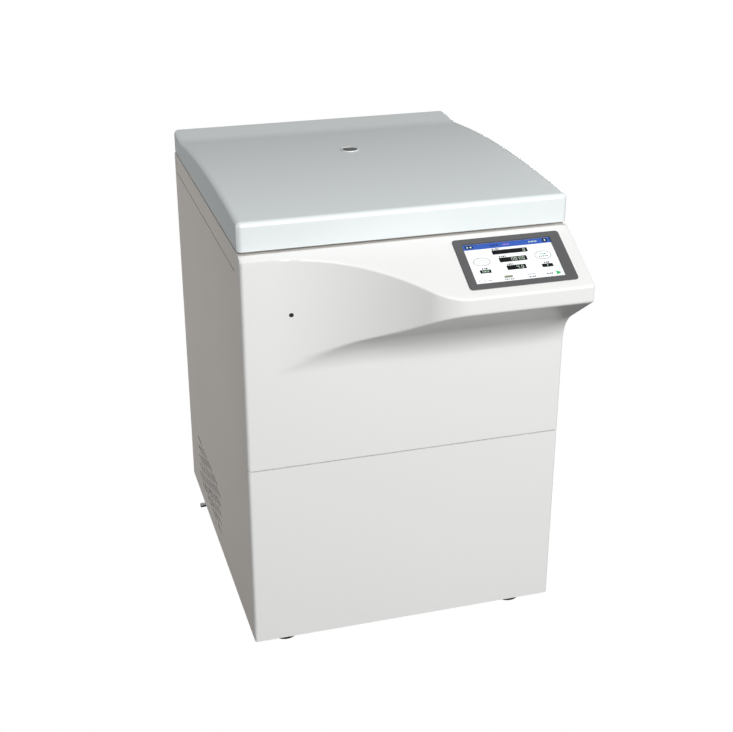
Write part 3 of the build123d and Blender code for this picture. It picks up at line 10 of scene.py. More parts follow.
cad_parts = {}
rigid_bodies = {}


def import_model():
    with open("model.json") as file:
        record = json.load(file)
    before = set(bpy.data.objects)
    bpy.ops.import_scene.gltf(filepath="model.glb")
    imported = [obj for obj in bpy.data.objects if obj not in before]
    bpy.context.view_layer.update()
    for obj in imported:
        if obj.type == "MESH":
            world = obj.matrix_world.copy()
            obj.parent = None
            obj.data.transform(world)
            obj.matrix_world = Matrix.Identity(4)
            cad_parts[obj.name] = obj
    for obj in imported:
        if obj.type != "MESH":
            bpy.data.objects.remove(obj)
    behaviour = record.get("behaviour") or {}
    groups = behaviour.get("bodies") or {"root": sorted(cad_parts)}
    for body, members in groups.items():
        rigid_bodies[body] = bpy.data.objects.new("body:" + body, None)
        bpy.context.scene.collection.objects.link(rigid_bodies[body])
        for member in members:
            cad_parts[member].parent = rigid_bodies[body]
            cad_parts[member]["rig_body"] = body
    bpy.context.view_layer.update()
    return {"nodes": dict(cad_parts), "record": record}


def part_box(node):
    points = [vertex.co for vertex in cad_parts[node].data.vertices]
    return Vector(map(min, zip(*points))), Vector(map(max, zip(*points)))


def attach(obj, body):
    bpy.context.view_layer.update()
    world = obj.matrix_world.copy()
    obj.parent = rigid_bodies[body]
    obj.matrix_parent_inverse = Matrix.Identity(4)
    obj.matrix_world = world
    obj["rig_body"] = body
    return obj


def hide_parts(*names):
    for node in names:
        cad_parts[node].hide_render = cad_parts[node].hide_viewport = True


bl_info = {
    "name": "Decapping Centrifuge Finishes",
    "version": (1, 0, 0),
    "blender": (4, 5, 0),
    "location": "View3D > Sidebar > Centrifuge",
    "description": "Adds the finishes, the lit display and a studio to a decapping centrifuge",
    "category": "Object",
}

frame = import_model()
MM = 0.001
UPRIGHT = (math.pi / 2, 0, 0)
SIDEWAYS = (0, math.pi / 2, 0)

# How finely the two large mouldings are meshed, in metres, steps or degrees
COARSE_STEP = 0.014
CREASE_STEP = 0.0022
ROW_STEP = 0.0018
LID_ACROSS = 0.012
LID_ALONG = 0.006
EDGE_STEPS = 6
CORNER_STEPS = 8
LID_EDGE_STEPS = 9
WELD = 0.00001
CREASE_ANGLE = 35.0

# Colours of what the display shows
INKS = {
    "blue": (0.040, 0.105, 0.42),
    "navy": (0.012, 0.02, 0.06),
    "black": (0.006, 0.007, 0.007),
    "white": (0.66, 0.80, 0.66),
    "green": (0.04, 0.40, 0.12),
    "pale_green": (0.50, 0.72, 0.52),
    "grey": (0.20, 0.21, 0.21),
    "pale": (0.62, 0.63, 0.63),
    "dark": (0.06, 0.06, 0.06),
    "olive": (0.23, 0.25, 0.17),
    "rose": (0.45, 0.22, 0.55),
}

# Plain fields on the display: colour, across, up, width, height, layer, corner; all lengths in millimetres
SCREEN_FIELDS = (
    ("blue", 0.0, 37.3, 154.0, 11.4, 1, 0.0),
    ("navy", -65.5, 37.6, 14.5, 6.4, 2, 3.1),
    ("white", -68.4, 37.6, 3.0, 3.0, 3, 1.4),
    ("white", -62.6, 37.6, 3.0, 3.0, 3, 1.4),
    ("navy", 67.5, 37.8, 9.6, 8.4, 2, 4.1),
    ("white", 67.5, 37.8, 2.2, 3.6, 3, 0.9),
    ("black", -53.4, -16.4, 19.0, 7.0, 2, 1.0),
    ("black", 54.0, -16.4, 19.0, 7.0, 2, 1.0),
    ("pale_green", 54.0, -16.4, 1.6, 3.0, 3, 0.6),
    ("olive", -19.0, -31.6, 14.5, 4.6, 2, 0.8),
    ("pale", 20.5, -31.5, 15.5, 3.6, 2, 0.8),
)

# Rows of bars in the place of captions: colour, across, up, width, height, count, layer
SCREEN_CAPTIONS = (
    ("navy", -22.0, 37.2, 15.0, 3.0, 6, 2),
    ("rose", -2.0, 37.2, 12.0, 2.6, 5, 2),
    ("white", 46.0, 37.4, 15.0, 2.8, 7, 2),
    ("pale_green", -53.4, 7.0, 11.0, 2.4, 3, 1),
    ("pale", -53.4, 2.0, 17.0, 2.0, 5, 1),
    ("green", 53.6, 8.8, 11.0, 2.4, 3, 1),
    ("dark", 53.6, 3.8, 17.0, 2.0, 5, 1),
    ("black", -53.4, -10.2, 10.0, 3.2, 3, 1),
    ("black", 54.0, -10.2, 10.0, 3.2, 3, 1),
    ("pale_green", -53.4, -16.4, 12.0, 3.2, 5, 3),
    ("grey", -52.0, -36.0, 7.0, 2.0, 3, 1),
    ("grey", -19.0, -37.2, 17.0, 3.0, 5, 1),
    ("dark", 21.0, -37.0, 12.0, 3.0, 4, 1),
    ("dark", 52.0, -34.2, 11.0, 3.0, 4, 1),
)

# Ovals on the display: colour, across, up, half width, half height, line
SCREEN_OVALS = (
    ("grey", -53.4, 4.6, 14.6, 9.0, 1.0),
    ("grey", 53.6, 6.4, 14.6, 9.0, 1.0),
    ("grey", -65.5, -36.2, 5.4, 3.8, 0.6),
    ("pale", -50.6, -36.0, 6.2, 4.6, 0.5),
)

# Value fields on the display: across, up, width, height, figures
SCREEN_VALUES = (
    (0.6, 21.8, 61.5, 9.2, "0"),
    (0.8, 4.4, 48.2, 9.8, "00:00"),
    (1.0, -13.4, 33.2, 9.6, "4.0"),
)
START_ARROW = ((63.6, -38.6), (72.2, -33.9), (63.6, -29.2))

# Seven-segment figures: each bar's middle across and up, and whether it lies down
BARS = {
    "a": (0.0, 0.5, True),
    "b": (0.5, 0.25, False),
    "c": (0.5, -0.25, False),
    "d": (0.0, -0.5, True),
    "e": (-0.5, -0.25, False),
    "f": (-0.5, 0.25, False),
    "g": (0.0, 0.0, True),
}
FIGURES = {"0": "abcdef", "4": "bcfg"}
POINTS = {":": (0.22, -0.22), ".": (-0.44,)}


def setting(name, description, default, subtype="DISTANCE", **limits):
    """A number that the sidebar shows and changes: a length, unless its subtype says otherwise."""
    return bpy.props.FloatProperty(
        name=name, description=description, default=default, subtype=subtype, **limits
    )


class CentrifugeFinishes(bpy.types.PropertyGroup):
    """Colours of the covers and the display's light."""

    cover_colour: bpy.props.FloatVectorProperty(
        name="Cover", description="Powder-coated sheet covers", subtype="COLOR",
        default=(0.69, 0.655, 0.615), min=0, max=1,
    )
    moulding_colour: bpy.props.FloatVectorProperty(
        name="Moulding", description="Moulded front panels", subtype="COLOR",
        default=(0.80, 0.80, 0.79), min=0, max=1,
    )
    lid_colour: bpy.props.FloatVectorProperty(
        name="Lid", description="Moulded lid", subtype="COLOR",
        default=(0.755, 0.80, 0.80), min=0, max=1,
    )
    bezel_colour: bpy.props.FloatVectorProperty(
        name="Bezel", description="Frame of the display", subtype="COLOR",
        default=(0.092, 0.092, 0.095), min=0, max=1,
    )
    screen_strength: setting(
        "Screen light", "How brightly the display is lit", 0.12, "NONE", min=0, max=5
    )
    ink_height: setting("Ink height", "How far the shown fields stand on the display", 0.06 * MM)


class FormSizes(bpy.types.PropertyGroup):
    """Sizes of the console panel, the lid and the small pieces on them."""

    console_reach: setting("Console reach", "How far the console stands out of the front panel", 0.108)
    console_height: setting("Console height", "Floor to the front edge of the console's slope", 0.680)
    console_band: setting("Console band", "Height of the upright band along the console", 0.0273)
    slope_angle: setting(
        "Console slope", "Slope of the console below the horizontal", math.radians(28.13), "ANGLE"
    )
    cove_angle: setting("Cove slope", "Slope of the console's underside", math.radians(35.3), "ANGLE")
    cove_radius: setting("Cove radius", "Sweep of the underside into the front panel", 0.074)
    curve_start: setting("Curve start", "Where the console starts to grow out, from the middle", -0.2335)
    curve_join: setting("Curve join", "Where the curve turns back, from the middle", 0.0052)
    curve_end: setting("Curve end", "Where the console has its full reach, from the middle", 0.076)
    crease_softness: setting("Crease softness", "How wide the console's creases are rounded", 0.0035)
    panel_edge: setting("Panel edge", "Radius of the panel's upright edges", 0.005)
    wall: setting("Moulding wall", "Thickness of both mouldings", 0.004)
    lid_front_height: setting("Lid front", "Height of the lid at its front", 0.048)
    lid_crown_height: setting("Lid crown", "Height of the lid at its crown", 0.0565)
    lid_crown_inset: setting("Crown inset", "Crown behind the lid's front", 0.265)
    lid_crease_height: setting("Lid crease", "Height of the lid at its crease", 0.038)
    lid_crease_inset: setting("Crease inset", "Crease in front of the lid's back", 0.085)
    lid_back_height: setting("Lid back", "Height of the lid at its back", 0.043)
    lid_edge: setting("Lid edge", "Radius round the lid's top", 0.008)
    lid_corner: setting("Lid corner", "Radius of the lid's upright corners", 0.009)
    bezel_overlap: setting(
        "Bezel overlap", "How far the bezel lies on the panel past its opening", 0.00425
    )
    opening_length: setting("Opening length", "Length of the display's opening down the slope", 0.1005)
    cutter_depth: setting("Cutter depth", "Depth of the cuts through the mouldings", 0.04)
    fit_gap: setting("Fit gap", "Gap round what is set into the mouldings", 0.0003)
    hinge_place: setting("Hinge place", "Middle of each hinge, from the middle of the lid", 0.165)
    hinge_half_width: setting("Hinge half width", "Half the width of a hinge's notch", 0.023)
    hinge_pin_inset: setting("Pin inset", "Hinge pin in front of the lid's back", 0.004)
    hinge_pin_rise: setting("Pin rise", "Hinge pin above the lid's lower edge", 0.003)
    hinge_relief: setting("Hinge relief", "Room round the hinge pin", 0.0075)
    rim_width: setting("Rim width", "Width of the moulded rim round the bezel", 0.0018)
    rim_height: setting("Rim height", "Height of the moulded rim over the slope", 0.0022)
    rim_corner: setting("Rim corner", "Inner radius of the rim's corners", 0.004)
    collar_radius: setting("Collar", "Thickness of the light collar round the release hole", 0.00045)
    screw_radius: setting("Screw head", "Radius of the screw heads on the back", 0.0036)
    screw_inset: setting("Screw inset", "Screws in from the rear cover's edges", 0.016)
    screw_spacing: setting("Screw spacing", "Rough distance between the screws", 0.19)


class StudioSetup(bpy.types.PropertyGroup):
    """Camera and lamps."""

    camera_place: bpy.props.FloatVectorProperty(
        name="Camera", description="Where the camera stands", subtype="XYZ",
        default=(-0.6409, -2.2008, 1.4554),
    )
    camera_yaw: setting(
        "Yaw", "Camera's turn to the right of straight on", math.radians(16.38), "ANGLE"
    )
    camera_pitch: setting("Pitch", "Camera's tilt below the horizontal", math.radians(24.57), "ANGLE")
    camera_lens: setting("Lens", "Focal length on a 36 mm sensor, in millimetres", 65.37, "NONE")
    sky_strength: setting("Sky", "Strength of the even light all round", 0.16, "NONE", min=0)
    key_power: setting("Key lamp", "Large soft lamp in front", 276.0, "POWER", min=0)
    top_power: setting("Top lamp", "Large soft lamp above", 3.0, "POWER", min=0)
    side_power: setting("Side lamp", "Soft lamp on the left side", 27.0, "POWER", min=0)
    back_power: setting("Back lamp", "Soft lamp behind, on the right", 55.0, "POWER", min=0)
    mirrored_strength: setting(
        "Mirrored sky", "Strength of the sky as glossy surfaces mirror it", 0.4, "NONE", min=0
    )
    floor_shade: setting(
        "Floor shade", "How much light the floor throws back", 0.05, "FACTOR", min=0, max=1
    )


class Term:
    """One value in a shader, so that sums of terms read as plain arithmetic."""

    def __init__(self, shading, socket):
        self.shading = shading
        self.socket = socket

    def combine(self, operation, first, second):
        return self.shading.node("ShaderNodeMath", {"operation": operation}, {0: first, 1: second})

    def __add__(self, other):
        return self.combine("ADD", self, other)

    def __radd__(self, other):
        return self.combine("ADD", other, self)

    def __sub__(self, other):
        return self.combine("SUBTRACT", self, other)

    def __rsub__(self, other):
        return self.combine("SUBTRACT", other, self)

    def __mul__(self, other):
        return self.combine("MULTIPLY", self, other)

    def __rmul__(self, other):
        return self.combine("MULTIPLY", other, self)


class Shading:
    """A node tree that is built node by node and ends in one shader."""

    def __init__(self, owner, shader):
        owner.use_nodes = True
        self.tree = owner.node_tree
        self.shader = self.tree.nodes[shader]

    def node(self, kind, settings, values, output=0):
        made = self.tree.nodes.new(kind)
        for key, value in settings.items():
            if key == "stops":
                self.set_stops(made.color_ramp, value)
            else:
                setattr(made, key, value)
        for key, value in values.items():
            if isinstance(value, Term):
                self.tree.links.new(value.socket, made.inputs[key])
            else:
                made.inputs[key].default_value = value
        return Term(self, made.outputs[output])

    def set_stops(self, ramp, stops):
        while len(ramp.elements) < len(stops):
            ramp.elements.new(1.0)
        for element, (position, value) in zip(ramp.elements, stops):
            element.position = position
            element.color = (value, value, value, 1.0)

    def feed(self, **terms):
        for socket, term in terms.items():
            self.tree.links.new(term.socket, self.shader.inputs[socket.replace("_", " ")])


class Finish(Shading):
    """A material round one Principled shader; fixed values go on the shader's own sockets."""

    def __init__(self, name, **fixed):
        self.material = bpy.data.materials.new(name)
        super().__init__(self.material, "Principled BSDF")
        for socket, value in fixed.items():
            self.shader.inputs[socket.replace("_", " ")].default_value = value
        self.place = self.node("ShaderNodeTexCoord", {}, {}, "Object")

    def stretched(self, scale):
        return self.node("ShaderNodeMapping", {}, {"Vector": self.place, "Scale": scale})

    def noise(self, scale, detail=2.0, vector=None):
        return self.node(
            "ShaderNodeTexNoise", {}, {"Vector": vector or self.place, "Scale": scale, "Detail": detail}
        )

    def ramp(self, value, *stops):
        return self.node("ShaderNodeValToRGB", {"stops": stops}, {0: value})

    def mix(self, mask, first, second):
        return self.node(
            "ShaderNodeMix", {"data_type": "RGBA"}, {0: mask, 6: first, 7: second}, 2
        )

    def bump(self, height, strength, distance):
        return self.node(
            "ShaderNodeBump", {}, {"Height": height, "Strength": strength, "Distance": distance}
        )


def shade(colour, factor):
    """A colour made lighter or darker by one factor, with full alpha."""
    return (*(min(1.0, channel * factor) for channel in colour), 1.0)


def powder_coat(name, colour):
    """Powder-coated sheet: fine orange peel, faint cloudiness and handling marks."""
    finish = Finish(name)
    cloud = finish.noise(3.0, 3.0)
    peel = finish.noise(900.0, 2.0)
    grain = finish.noise(2600.0, 1.0)
    scuff = finish.ramp(finish.noise(14.0, 6.0), (0.55, 0.0), (0.75, 1.0))
    finish.feed(
        Base_Color=finish.mix(cloud * 0.6 + grain * 0.4, shade(colour, 0.965), shade(colour, 1.03)),
        Roughness=0.40 + 0.08 * cloud + 0.06 * scuff,
        Normal=finish.bump(peel + 0.3 * grain, 0.12, 0.0003),
    )
    return finish.material


def moulded(name, colour, roughness, coat):
    """Smooth moulded cover: soft gloss, faint flow clouding and very fine grain."""
    finish = Finish(name, Coat_Weight=coat, Coat_Roughness=0.2)
    cloud = finish.noise(2.2, 4.0)
    grain = finish.noise(1800.0, 2.0)
    wear = finish.ramp(finish.noise(22.0, 7.0), (0.58, 0.0), (0.80, 1.0))
    finish.feed(
        Base_Color=finish.mix(cloud, shade(colour, 0.98), shade(colour, 1.015)),
        Roughness=roughness + 0.05 * cloud + 0.05 * wear,
        Normal=finish.bump(grain, 0.05, 0.0002),
    )
    return finish.material


def brushed(name, colour, along, roughness=0.32):
    """Brushed or rolled metal: long fine lines along one direction."""
    finish = Finish(name, Metallic=1.0)
    scale = tuple(20.0 if axis == along else 900.0 for axis in range(3))
    lines = finish.noise(1.0, 3.0, finish.stretched(scale))
    cloud = finish.noise(9.0, 3.0)
    finish.feed(
        Base_Color=finish.mix(lines, shade(colour, 0.86), shade(colour, 1.06)),
        Roughness=roughness - 0.06 + 0.12 * lines + 0.08 * cloud,
        Normal=finish.bump(lines, 0.12, 0.0002),
    )
    return finish.material


def cast(name, colour, metallic, roughness=0.5):
    """Cast or bead-blasted surface with a fine pitted grain."""
    finish = Finish(name, Metallic=metallic)
    pits = finish.noise(700.0, 4.0)
    cloud = finish.noise(8.0, 4.0)
    finish.feed(
        Base_Color=finish.mix(cloud, shade(colour, 0.85), shade(colour, 1.1)),
        Roughness=roughness + 0.12 * pits - 0.04,
        Normal=finish.bump(pits, 0.35, 0.0004),
    )
    return finish.material


def soft_black(name, colour, roughness):
    """Rubber or black moulding: matt, with dust in the grain."""
    finish = Finish(name)
    grain = finish.noise(1200.0, 3.0)
    dust = finish.ramp(finish.noise(30.0, 6.0), (0.45, 0.0), (0.85, 1.0))
    finish.feed(
        Base_Color=finish.mix(dust * 0.5, shade(colour, 0.9), shade(colour, 1.9)),
        Roughness=roughness + 0.1 * dust,
        Normal=finish.bump(grain, 0.25, 0.0003),
    )
    return finish.material


def foamed(name, colour):
    """Foamed insulation: open cells and uneven colour."""
    finish = Finish(name)
    cells = finish.node("ShaderNodeTexVoronoi", {}, {"Vector": finish.place, "Scale": 260.0})
    cloud = finish.noise(12.0, 4.0)
    finish.feed(
        Base_Color=finish.mix(cloud, shade(colour, 0.8), shade(colour, 1.1)),
        Roughness=0.82 + 0.12 * cloud,
        Normal=finish.bump(cells, 0.6, 0.001),
    )
    return finish.material


def lit(name, colour, strength):
    """One colour of the lit display, with a faint pixel texture."""
    finish = Finish(name, Specular_IOR_Level=0.12, Emission_Strength=strength)
    pixels = finish.noise(2500.0, 1.0)
    tint = finish.mix(pixels, shade(colour, 0.97), shade(colour, 1.02))
    finish.feed(Base_Color=tint, Emission_Color=tint, Roughness=0.5 + 0.08 * pixels)
    return finish.material


def shade_painted_glass(name, colour):
    """Sight glass set into the lid, its colour painted near black as painted shade of the unlit chamber
    behind it, with faint wiping marks.
    """
    finish = Finish(name, Coat_Weight=0.1)
    smear = finish.noise(60.0, 5.0)
    finish.feed(
        Base_Color=finish.mix(smear, shade(colour, 0.8), shade(colour, 1.25)),
        Roughness=0.06 + 0.14 * smear,
        Normal=finish.bump(smear, 0.04, 0.0004),
    )
    return finish.material


def deselect():
    """Leaves edit mode and selects nothing."""
    if bpy.context.object and bpy.context.object.mode != "OBJECT":
        bpy.ops.object.mode_set(mode="OBJECT")
    bpy.ops.object.select_all(action="DESELECT")


def activate(piece):
    """Makes one piece the only selected and active one."""
    deselect()
    piece.select_set(True)
    bpy.context.view_layer.objects.active = piece


def finish_piece(piece, name, material, body, slot, *nodes):
    """Names a finished piece, applies its place, ties it to its body and hides the nodes it replaces; the
    slot is not used.
    """
    activate(piece)
    bpy.ops.object.transform_apply(location=True, rotation=True, scale=True)
    piece.name = name
    piece.data.name = name
    piece.data.materials.clear()
    piece.data.materials.append(material)
    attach(piece, body)
    if nodes:
        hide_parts(*nodes)


def weld(piece, outward=False):
    """Merges a piece's doubled vertices and, where asked, turns its normals out."""
    activate(piece)
    bpy.ops.object.mode_set(mode="EDIT")
    bpy.ops.mesh.select_all(action="SELECT")
    bpy.ops.mesh.remove_doubles(threshold=WELD)
    if outward:
        bpy.ops.mesh.normals_make_consistent(inside=False)
    bpy.ops.object.mode_set(mode="OBJECT")


def smooth(piece, angle=30.0):
    """Welds a piece and shades it smooth, with its large faces kept flat."""
    weld(piece)
    bpy.ops.object.shade_smooth_by_angle(angle=math.radians(angle))
    apply_modifier(piece, "WEIGHTED_NORMAL", mode="FACE_AREA", weight=100, keep_sharp=True)


def apply_modifier(piece, kind, **settings):
    """Adds a modifier to a piece with these settings and applies it."""
    activate(piece)
    bpy.ops.object.modifier_add(type=kind)
    modifier = piece.modifiers[-1]
    for key, value in settings.items():
        setattr(modifier, key, value)
    bpy.ops.object.modifier_apply(modifier=modifier.name)


def smooth_copy(node):
    """A welded, smooth-shaded copy of a node's solid."""
    piece = bpy.data.objects.new(node + "_skin", frame["nodes"][node].data.copy())
    bpy.context.scene.collection.objects.link(piece)
    smooth(piece)
    return piece


def stand_in(piece, node, material):
    """Puts a finished piece in the place of a node, on the same body."""
    slots = {part["node"]: part["material_slot"] for part in frame["record"]["subparts"]}
    finish_piece(piece, node + "_skin", material, frame["nodes"][node]["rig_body"], slots[node], node)


def replace_by_skin(node, material):
    """Puts a smooth copy of a node in its place."""
    stand_in(smooth_copy(node), node, material)


def mesh_piece(name, points, faces):
    """A new mesh object from points and faces, its normals facing out."""
    data = bpy.data.meshes.new(name)
    data.from_pydata(points, [], faces)
    piece = bpy.data.objects.new(name, data)
    bpy.context.scene.collection.objects.link(piece)
    weld(piece, outward=True)
    return piece


def grid_faces(columns, rows, start=0):
    """Quads between the points of a grid that is listed column by column."""
    corners = [start + c * rows + r for c in range(columns - 1) for r in range(rows - 1)]
    return [(corner, corner + rows, corner + rows + 1, corner + 1) for corner in corners]


def spaced(first, last, step):
    """Evenly spaced values from first up to, but without, last."""
    count = max(1, round((last - first) / step))
    return [first + (last - first) * index / count for index in range(count)]


def soft_min(first, second, width):
    """The smaller of two values, with the corner between them rounded over a width."""
    if width <= 0:
        return min(first, second)
    blend = max(width - abs(first - second), 0) / width
    return min(first, second) - blend * blend * width / 4


def cut_away(piece, *cutters):
    """Subtracts each cutter from a piece and removes the cutter."""
    for cutter in cutters:
        apply_modifier(piece, "BOOLEAN", object=cutter, operation="DIFFERENCE", solver="EXACT")
        bpy.data.objects.remove(cutter)


def cylinder(place, radius, depth, turn=(0, 0, 0), vertices=96):
    """A primitive cylinder with its place and turn applied."""
    deselect()
    bpy.ops.mesh.primitive_cylinder_add(
        radius=radius, depth=depth, vertices=vertices, location=place, rotation=turn
    )
    bpy.ops.object.transform_apply(location=True, rotation=True, scale=True)
    return bpy.context.object


def console_panel(form):
    """The upper front panel: a flat front that sweeps out into the sloping console."""
    low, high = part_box("upper_front_panel")
    front = low.y + form.console_reach
    rise = math.tan(form.slope_angle)
    cove_top = form.console_height - form.console_band
    cove_foot = cove_top - form.console_reach * math.tan(form.cove_angle)
    turn = math.pi / 2 - form.cove_angle
    cove_start = cove_foot - form.cove_radius * math.tan(turn / 2)
    cove_end = cove_start + form.cove_radius * math.sin(turn)
    bend = 2 * math.atan2(form.console_reach, form.curve_end - form.curve_start)
    first_radius = (form.curve_join - form.curve_start) / math.sin(bend)
    second_radius = (form.curve_end - form.curve_join) / math.sin(bend)

    def reach_at_height(z):
        """How far the console's section stands out at a height."""
        if z <= cove_start:
            under = 0.0
        elif z < cove_end:
            under = form.cove_radius - math.sqrt(form.cove_radius**2 - (z - cove_start) ** 2)
        else:
            under = (z - cove_foot) / math.tan(form.cove_angle)
        slope = form.console_reach - (z - form.console_height) / rise
        band = soft_min(under, form.console_reach, form.crease_softness)
        return soft_min(band, slope, form.crease_softness)

    def reach_at_side(x):
        """How far the console stands out along the panel's width."""
        if x <= form.curve_start:
            return 0.0
        if x <= form.curve_join:
            return first_radius - math.sqrt(first_radius**2 - (x - form.curve_start) ** 2)
        if x < form.curve_end:
            drop = second_radius - math.sqrt(second_radius**2 - (form.curve_end - x) ** 2)
            return form.console_reach - drop
        return form.console_reach

    edge = form.panel_edge
    seam = edge / 4
    crease_room = 0.004
    cove_room = 0.006
    foot_share = 0.7
    quarter = [math.pi / 2 * step / EDGE_STEPS for step in range(EDGE_STEPS + 1)]
    columns = [(low.x, None)]
    columns += [(low.x + edge * (1 - math.cos(t)), edge * (1 - math.sin(t))) for t in quarter[:-1]]
    middle = (
        spaced(low.x + edge, form.curve_start - crease_room, COARSE_STEP)
        + spaced(form.curve_start - crease_room, form.curve_end + crease_room, CREASE_STEP)
        + spaced(form.curve_end + crease_room, high.x - edge, COARSE_STEP)
        + [high.x - edge]
    )
    columns += [(x, 0.0) for x in middle]
    columns += [(high.x - edge * (1 - math.cos(t)), edge * (1 - math.sin(t))) for t in quarter[-2::-1]]
    columns += [(high.x, None)]
    rows = [(low.z, None)]
    rows += [(low.z + seam * (1 - math.cos(t)), seam * (1 - math.sin(t))) for t in quarter[:-1]]
    rows += [(z, 0.0) for z in spaced(low.z + seam, cove_start - cove_room, COARSE_STEP)]
    rows += [(z, 0.0) for z in spaced(cove_start - cove_room, high.z, ROW_STEP)]
    rows += [(high.z, 0.0), (high.z, None)]
    points = []
    for x, side_back in columns:
        for z, seam_back in rows:
            if side_back is None or seam_back is None:
                points.append((x, high.y, z))
                continue
            along = reach_at_side(x)
            up = reach_at_height(z)
            softness = min(form.crease_softness, foot_share * max(along, up, 0.0))
            depth = front - soft_min(along, up, softness) + side_back + seam_back
            points.append((x, min(depth, high.y), z))
    piece = mesh_piece("console_panel", points, grid_faces(len(columns), len(rows)))
    if sum(polygon.normal.y * polygon.area for polygon in piece.data.polygons) > 0:
        piece.data.flip_normals()
    apply_modifier(piece, "SOLIDIFY", thickness=form.wall * 0.75, offset=-1.0)
    return piece


def lid_form(form):
    """The lid: a gently crowned top with rounded edges and corners, open below."""
    low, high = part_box("lid_shell")
    crease_y = high.y - form.lid_crease_inset
    trio = (
        (low.y, form.lid_front_height),
        (low.y + form.lid_crown_inset, form.lid_crown_height),
        (crease_y, form.lid_crease_height),
    )
    (ay, az), (by, bz), (cy, cz) = trio
    twice = 2 * (ay * (bz - cz) + by * (cz - az) + cy * (az - bz))
    squares = [y * y + z * z for y, z in trio]
    centre_y = (squares[0] * (bz - cz) + squares[1] * (cz - az) + squares[2] * (az - bz)) / twice
    centre_z = (squares[0] * (cy - by) + squares[1] * (ay - cy) + squares[2] * (by - ay)) / twice
    radius = math.hypot(ay - centre_y, az - centre_z)

    tail_length = 0.05
    crease_width = 0.004

    def top(y):
        """Height of the lid's top above its lower edge."""
        crown = centre_z + math.sqrt(radius**2 - (y - centre_y) ** 2)
        tail = form.lid_crease_height + (y - crease_y) * (
            form.lid_back_height - form.lid_crease_height
        ) / form.lid_crease_inset
        if y < crease_y - tail_length:
            return crown
        return -soft_min(-crown, -tail, crease_width)

    edge = form.lid_edge
    corner = form.lid_corner
    across = spaced(low.x + corner, high.x - corner, LID_ACROSS) + [high.x - corner]
    along = spaced(low.y + corner, high.y - corner, LID_ALONG) + [high.y - corner]

    def outline(inset):
        """The lid's outline, drawn in by an inset."""
        bend = max(corner - inset, 0.0)
        left, right = low.x + inset + bend, high.x - inset - bend
        front, back = low.y + inset + bend, high.y - inset - bend
        x_scale = (right - left) / (across[-1] - across[0])
        y_scale = (back - front) / (along[-1] - along[0])
        ring = [(left + (x - across[0]) * x_scale, low.y + inset) for x in across]
        ring += arc(right, front, bend, -90)
        ring += [(high.x - inset, front + (y - along[0]) * y_scale) for y in along]
        ring += arc(right, back, bend, 0)
        ring += [(left + (x - across[0]) * x_scale, high.y - inset) for x in reversed(across)]
        ring += arc(left, back, bend, 90)
        ring += [(low.x + inset, front + (y - along[0]) * y_scale) for y in reversed(along)]
        ring += arc(left, front, bend, 180)
        return ring

    def arc(x, y, bend, start):
        """The inner points of a quarter round."""
        angles = [math.radians(start + 90 * step / CORNER_STEPS) for step in range(1, CORNER_STEPS)]
        return [(x + bend * math.cos(angle), y + bend * math.sin(angle)) for angle in angles]

    points = []
    foot_rings = ((0.0006, 0.0), (0.0, 0.0008), (0.0, 0.012))
    for inset, height in foot_rings:
        points += [(x, y, low.z + height) for x, y in outline(inset)]
    for step in range(LID_EDGE_STEPS + 1):
        t = math.pi / 2 * step / LID_EDGE_STEPS
        inset = edge * (1 - math.cos(t)) if step < LID_EDGE_STEPS else corner
        drop = edge * (1 - math.sin(t))
        points += [(x, y, low.z + top(y) - drop) for x, y in outline(inset)]
    rings = len(foot_rings) + LID_EDGE_STEPS + 1
    length = len(points) // rings
    faces = []
    for ring in range(0, (rings - 1) * length, length):
        for k in range(length):
            n = (k + 1) % length
            faces.append((ring + k, ring + n, ring + length + n, ring + length + k))
    start = len(points)
    points += [(x, y, low.z + top(y)) for x in across for y in along]
    faces += grid_faces(len(across), len(along), start)
    piece = mesh_piece("lid_form", points, faces)
    apply_modifier(piece, "SOLIDIFY", thickness=form.wall, offset=-1.0)
    return piece


def dress(nodes, material):
    """Puts smooth copies of several nodes in their places, all with one material."""
    for node in nodes:
        replace_by_skin(node, material)


def tilted_face(node, tilt):
    """Frame, length and thickness of a slab that lies on a slope; the frame is on its upper face."""
    low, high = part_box(node)
    normal = Vector((0, -math.sin(tilt), math.cos(tilt)))
    uphill = Vector((0, math.cos(tilt), math.sin(tilt)))
    depth = high.y - low.y
    height = high.z - low.z
    length = (depth - height * math.tan(tilt)) / (math.cos(tilt) - math.sin(tilt) * math.tan(tilt))
    thickness = (height - length * math.sin(tilt)) / math.cos(tilt)
    centre = (low + high) / 2 + normal * thickness / 2
    turn = Matrix(((1, 0, 0, 0), (0, uphill.y, normal.y, 0), (0, uphill.z, normal.z, 0), (0, 0, 0, 1)))
    return Matrix.Translation(centre) @ turn, length, thickness


def rounded_outline(width, depth, corner, steps=7):
    """The points of a rectangle with rounded corners; one step gives sharp corners."""
    points = []
    for turn, (side_u, side_v) in enumerate(((1, 1), (-1, 1), (-1, -1), (1, -1))):
        for step in range(steps):
            angle = math.pi / 2 * (turn + (step / (steps - 1) if steps > 1 else 0.5))
            points.append((
                side_u * (width / 2 - corner) + corner * math.cos(angle),
                side_v * (depth / 2 - corner) + corner * math.sin(angle),
            ))
    return points


def ring_piece(name, inner, outer, foot, head, place):
    """A flat ring between two outlines with equal counts of points, in a given frame."""
    count = len(inner)
    points = [place @ Vector((x, y, z)) for z in (foot, head) for line in (inner, outer) for x, y in line]
    faces = []
    for k in range(count):
        n = (k + 1) % count
        faces.append((k, n, count + n, count + k))
        faces.append((2 * count + k, 2 * count + n, 3 * count + n, 3 * count + k))
        faces.append((k, n, 2 * count + n, 2 * count + k))
        faces.append((count + k, count + n, 3 * count + n, 3 * count + k))
    return mesh_piece(name, points, faces)


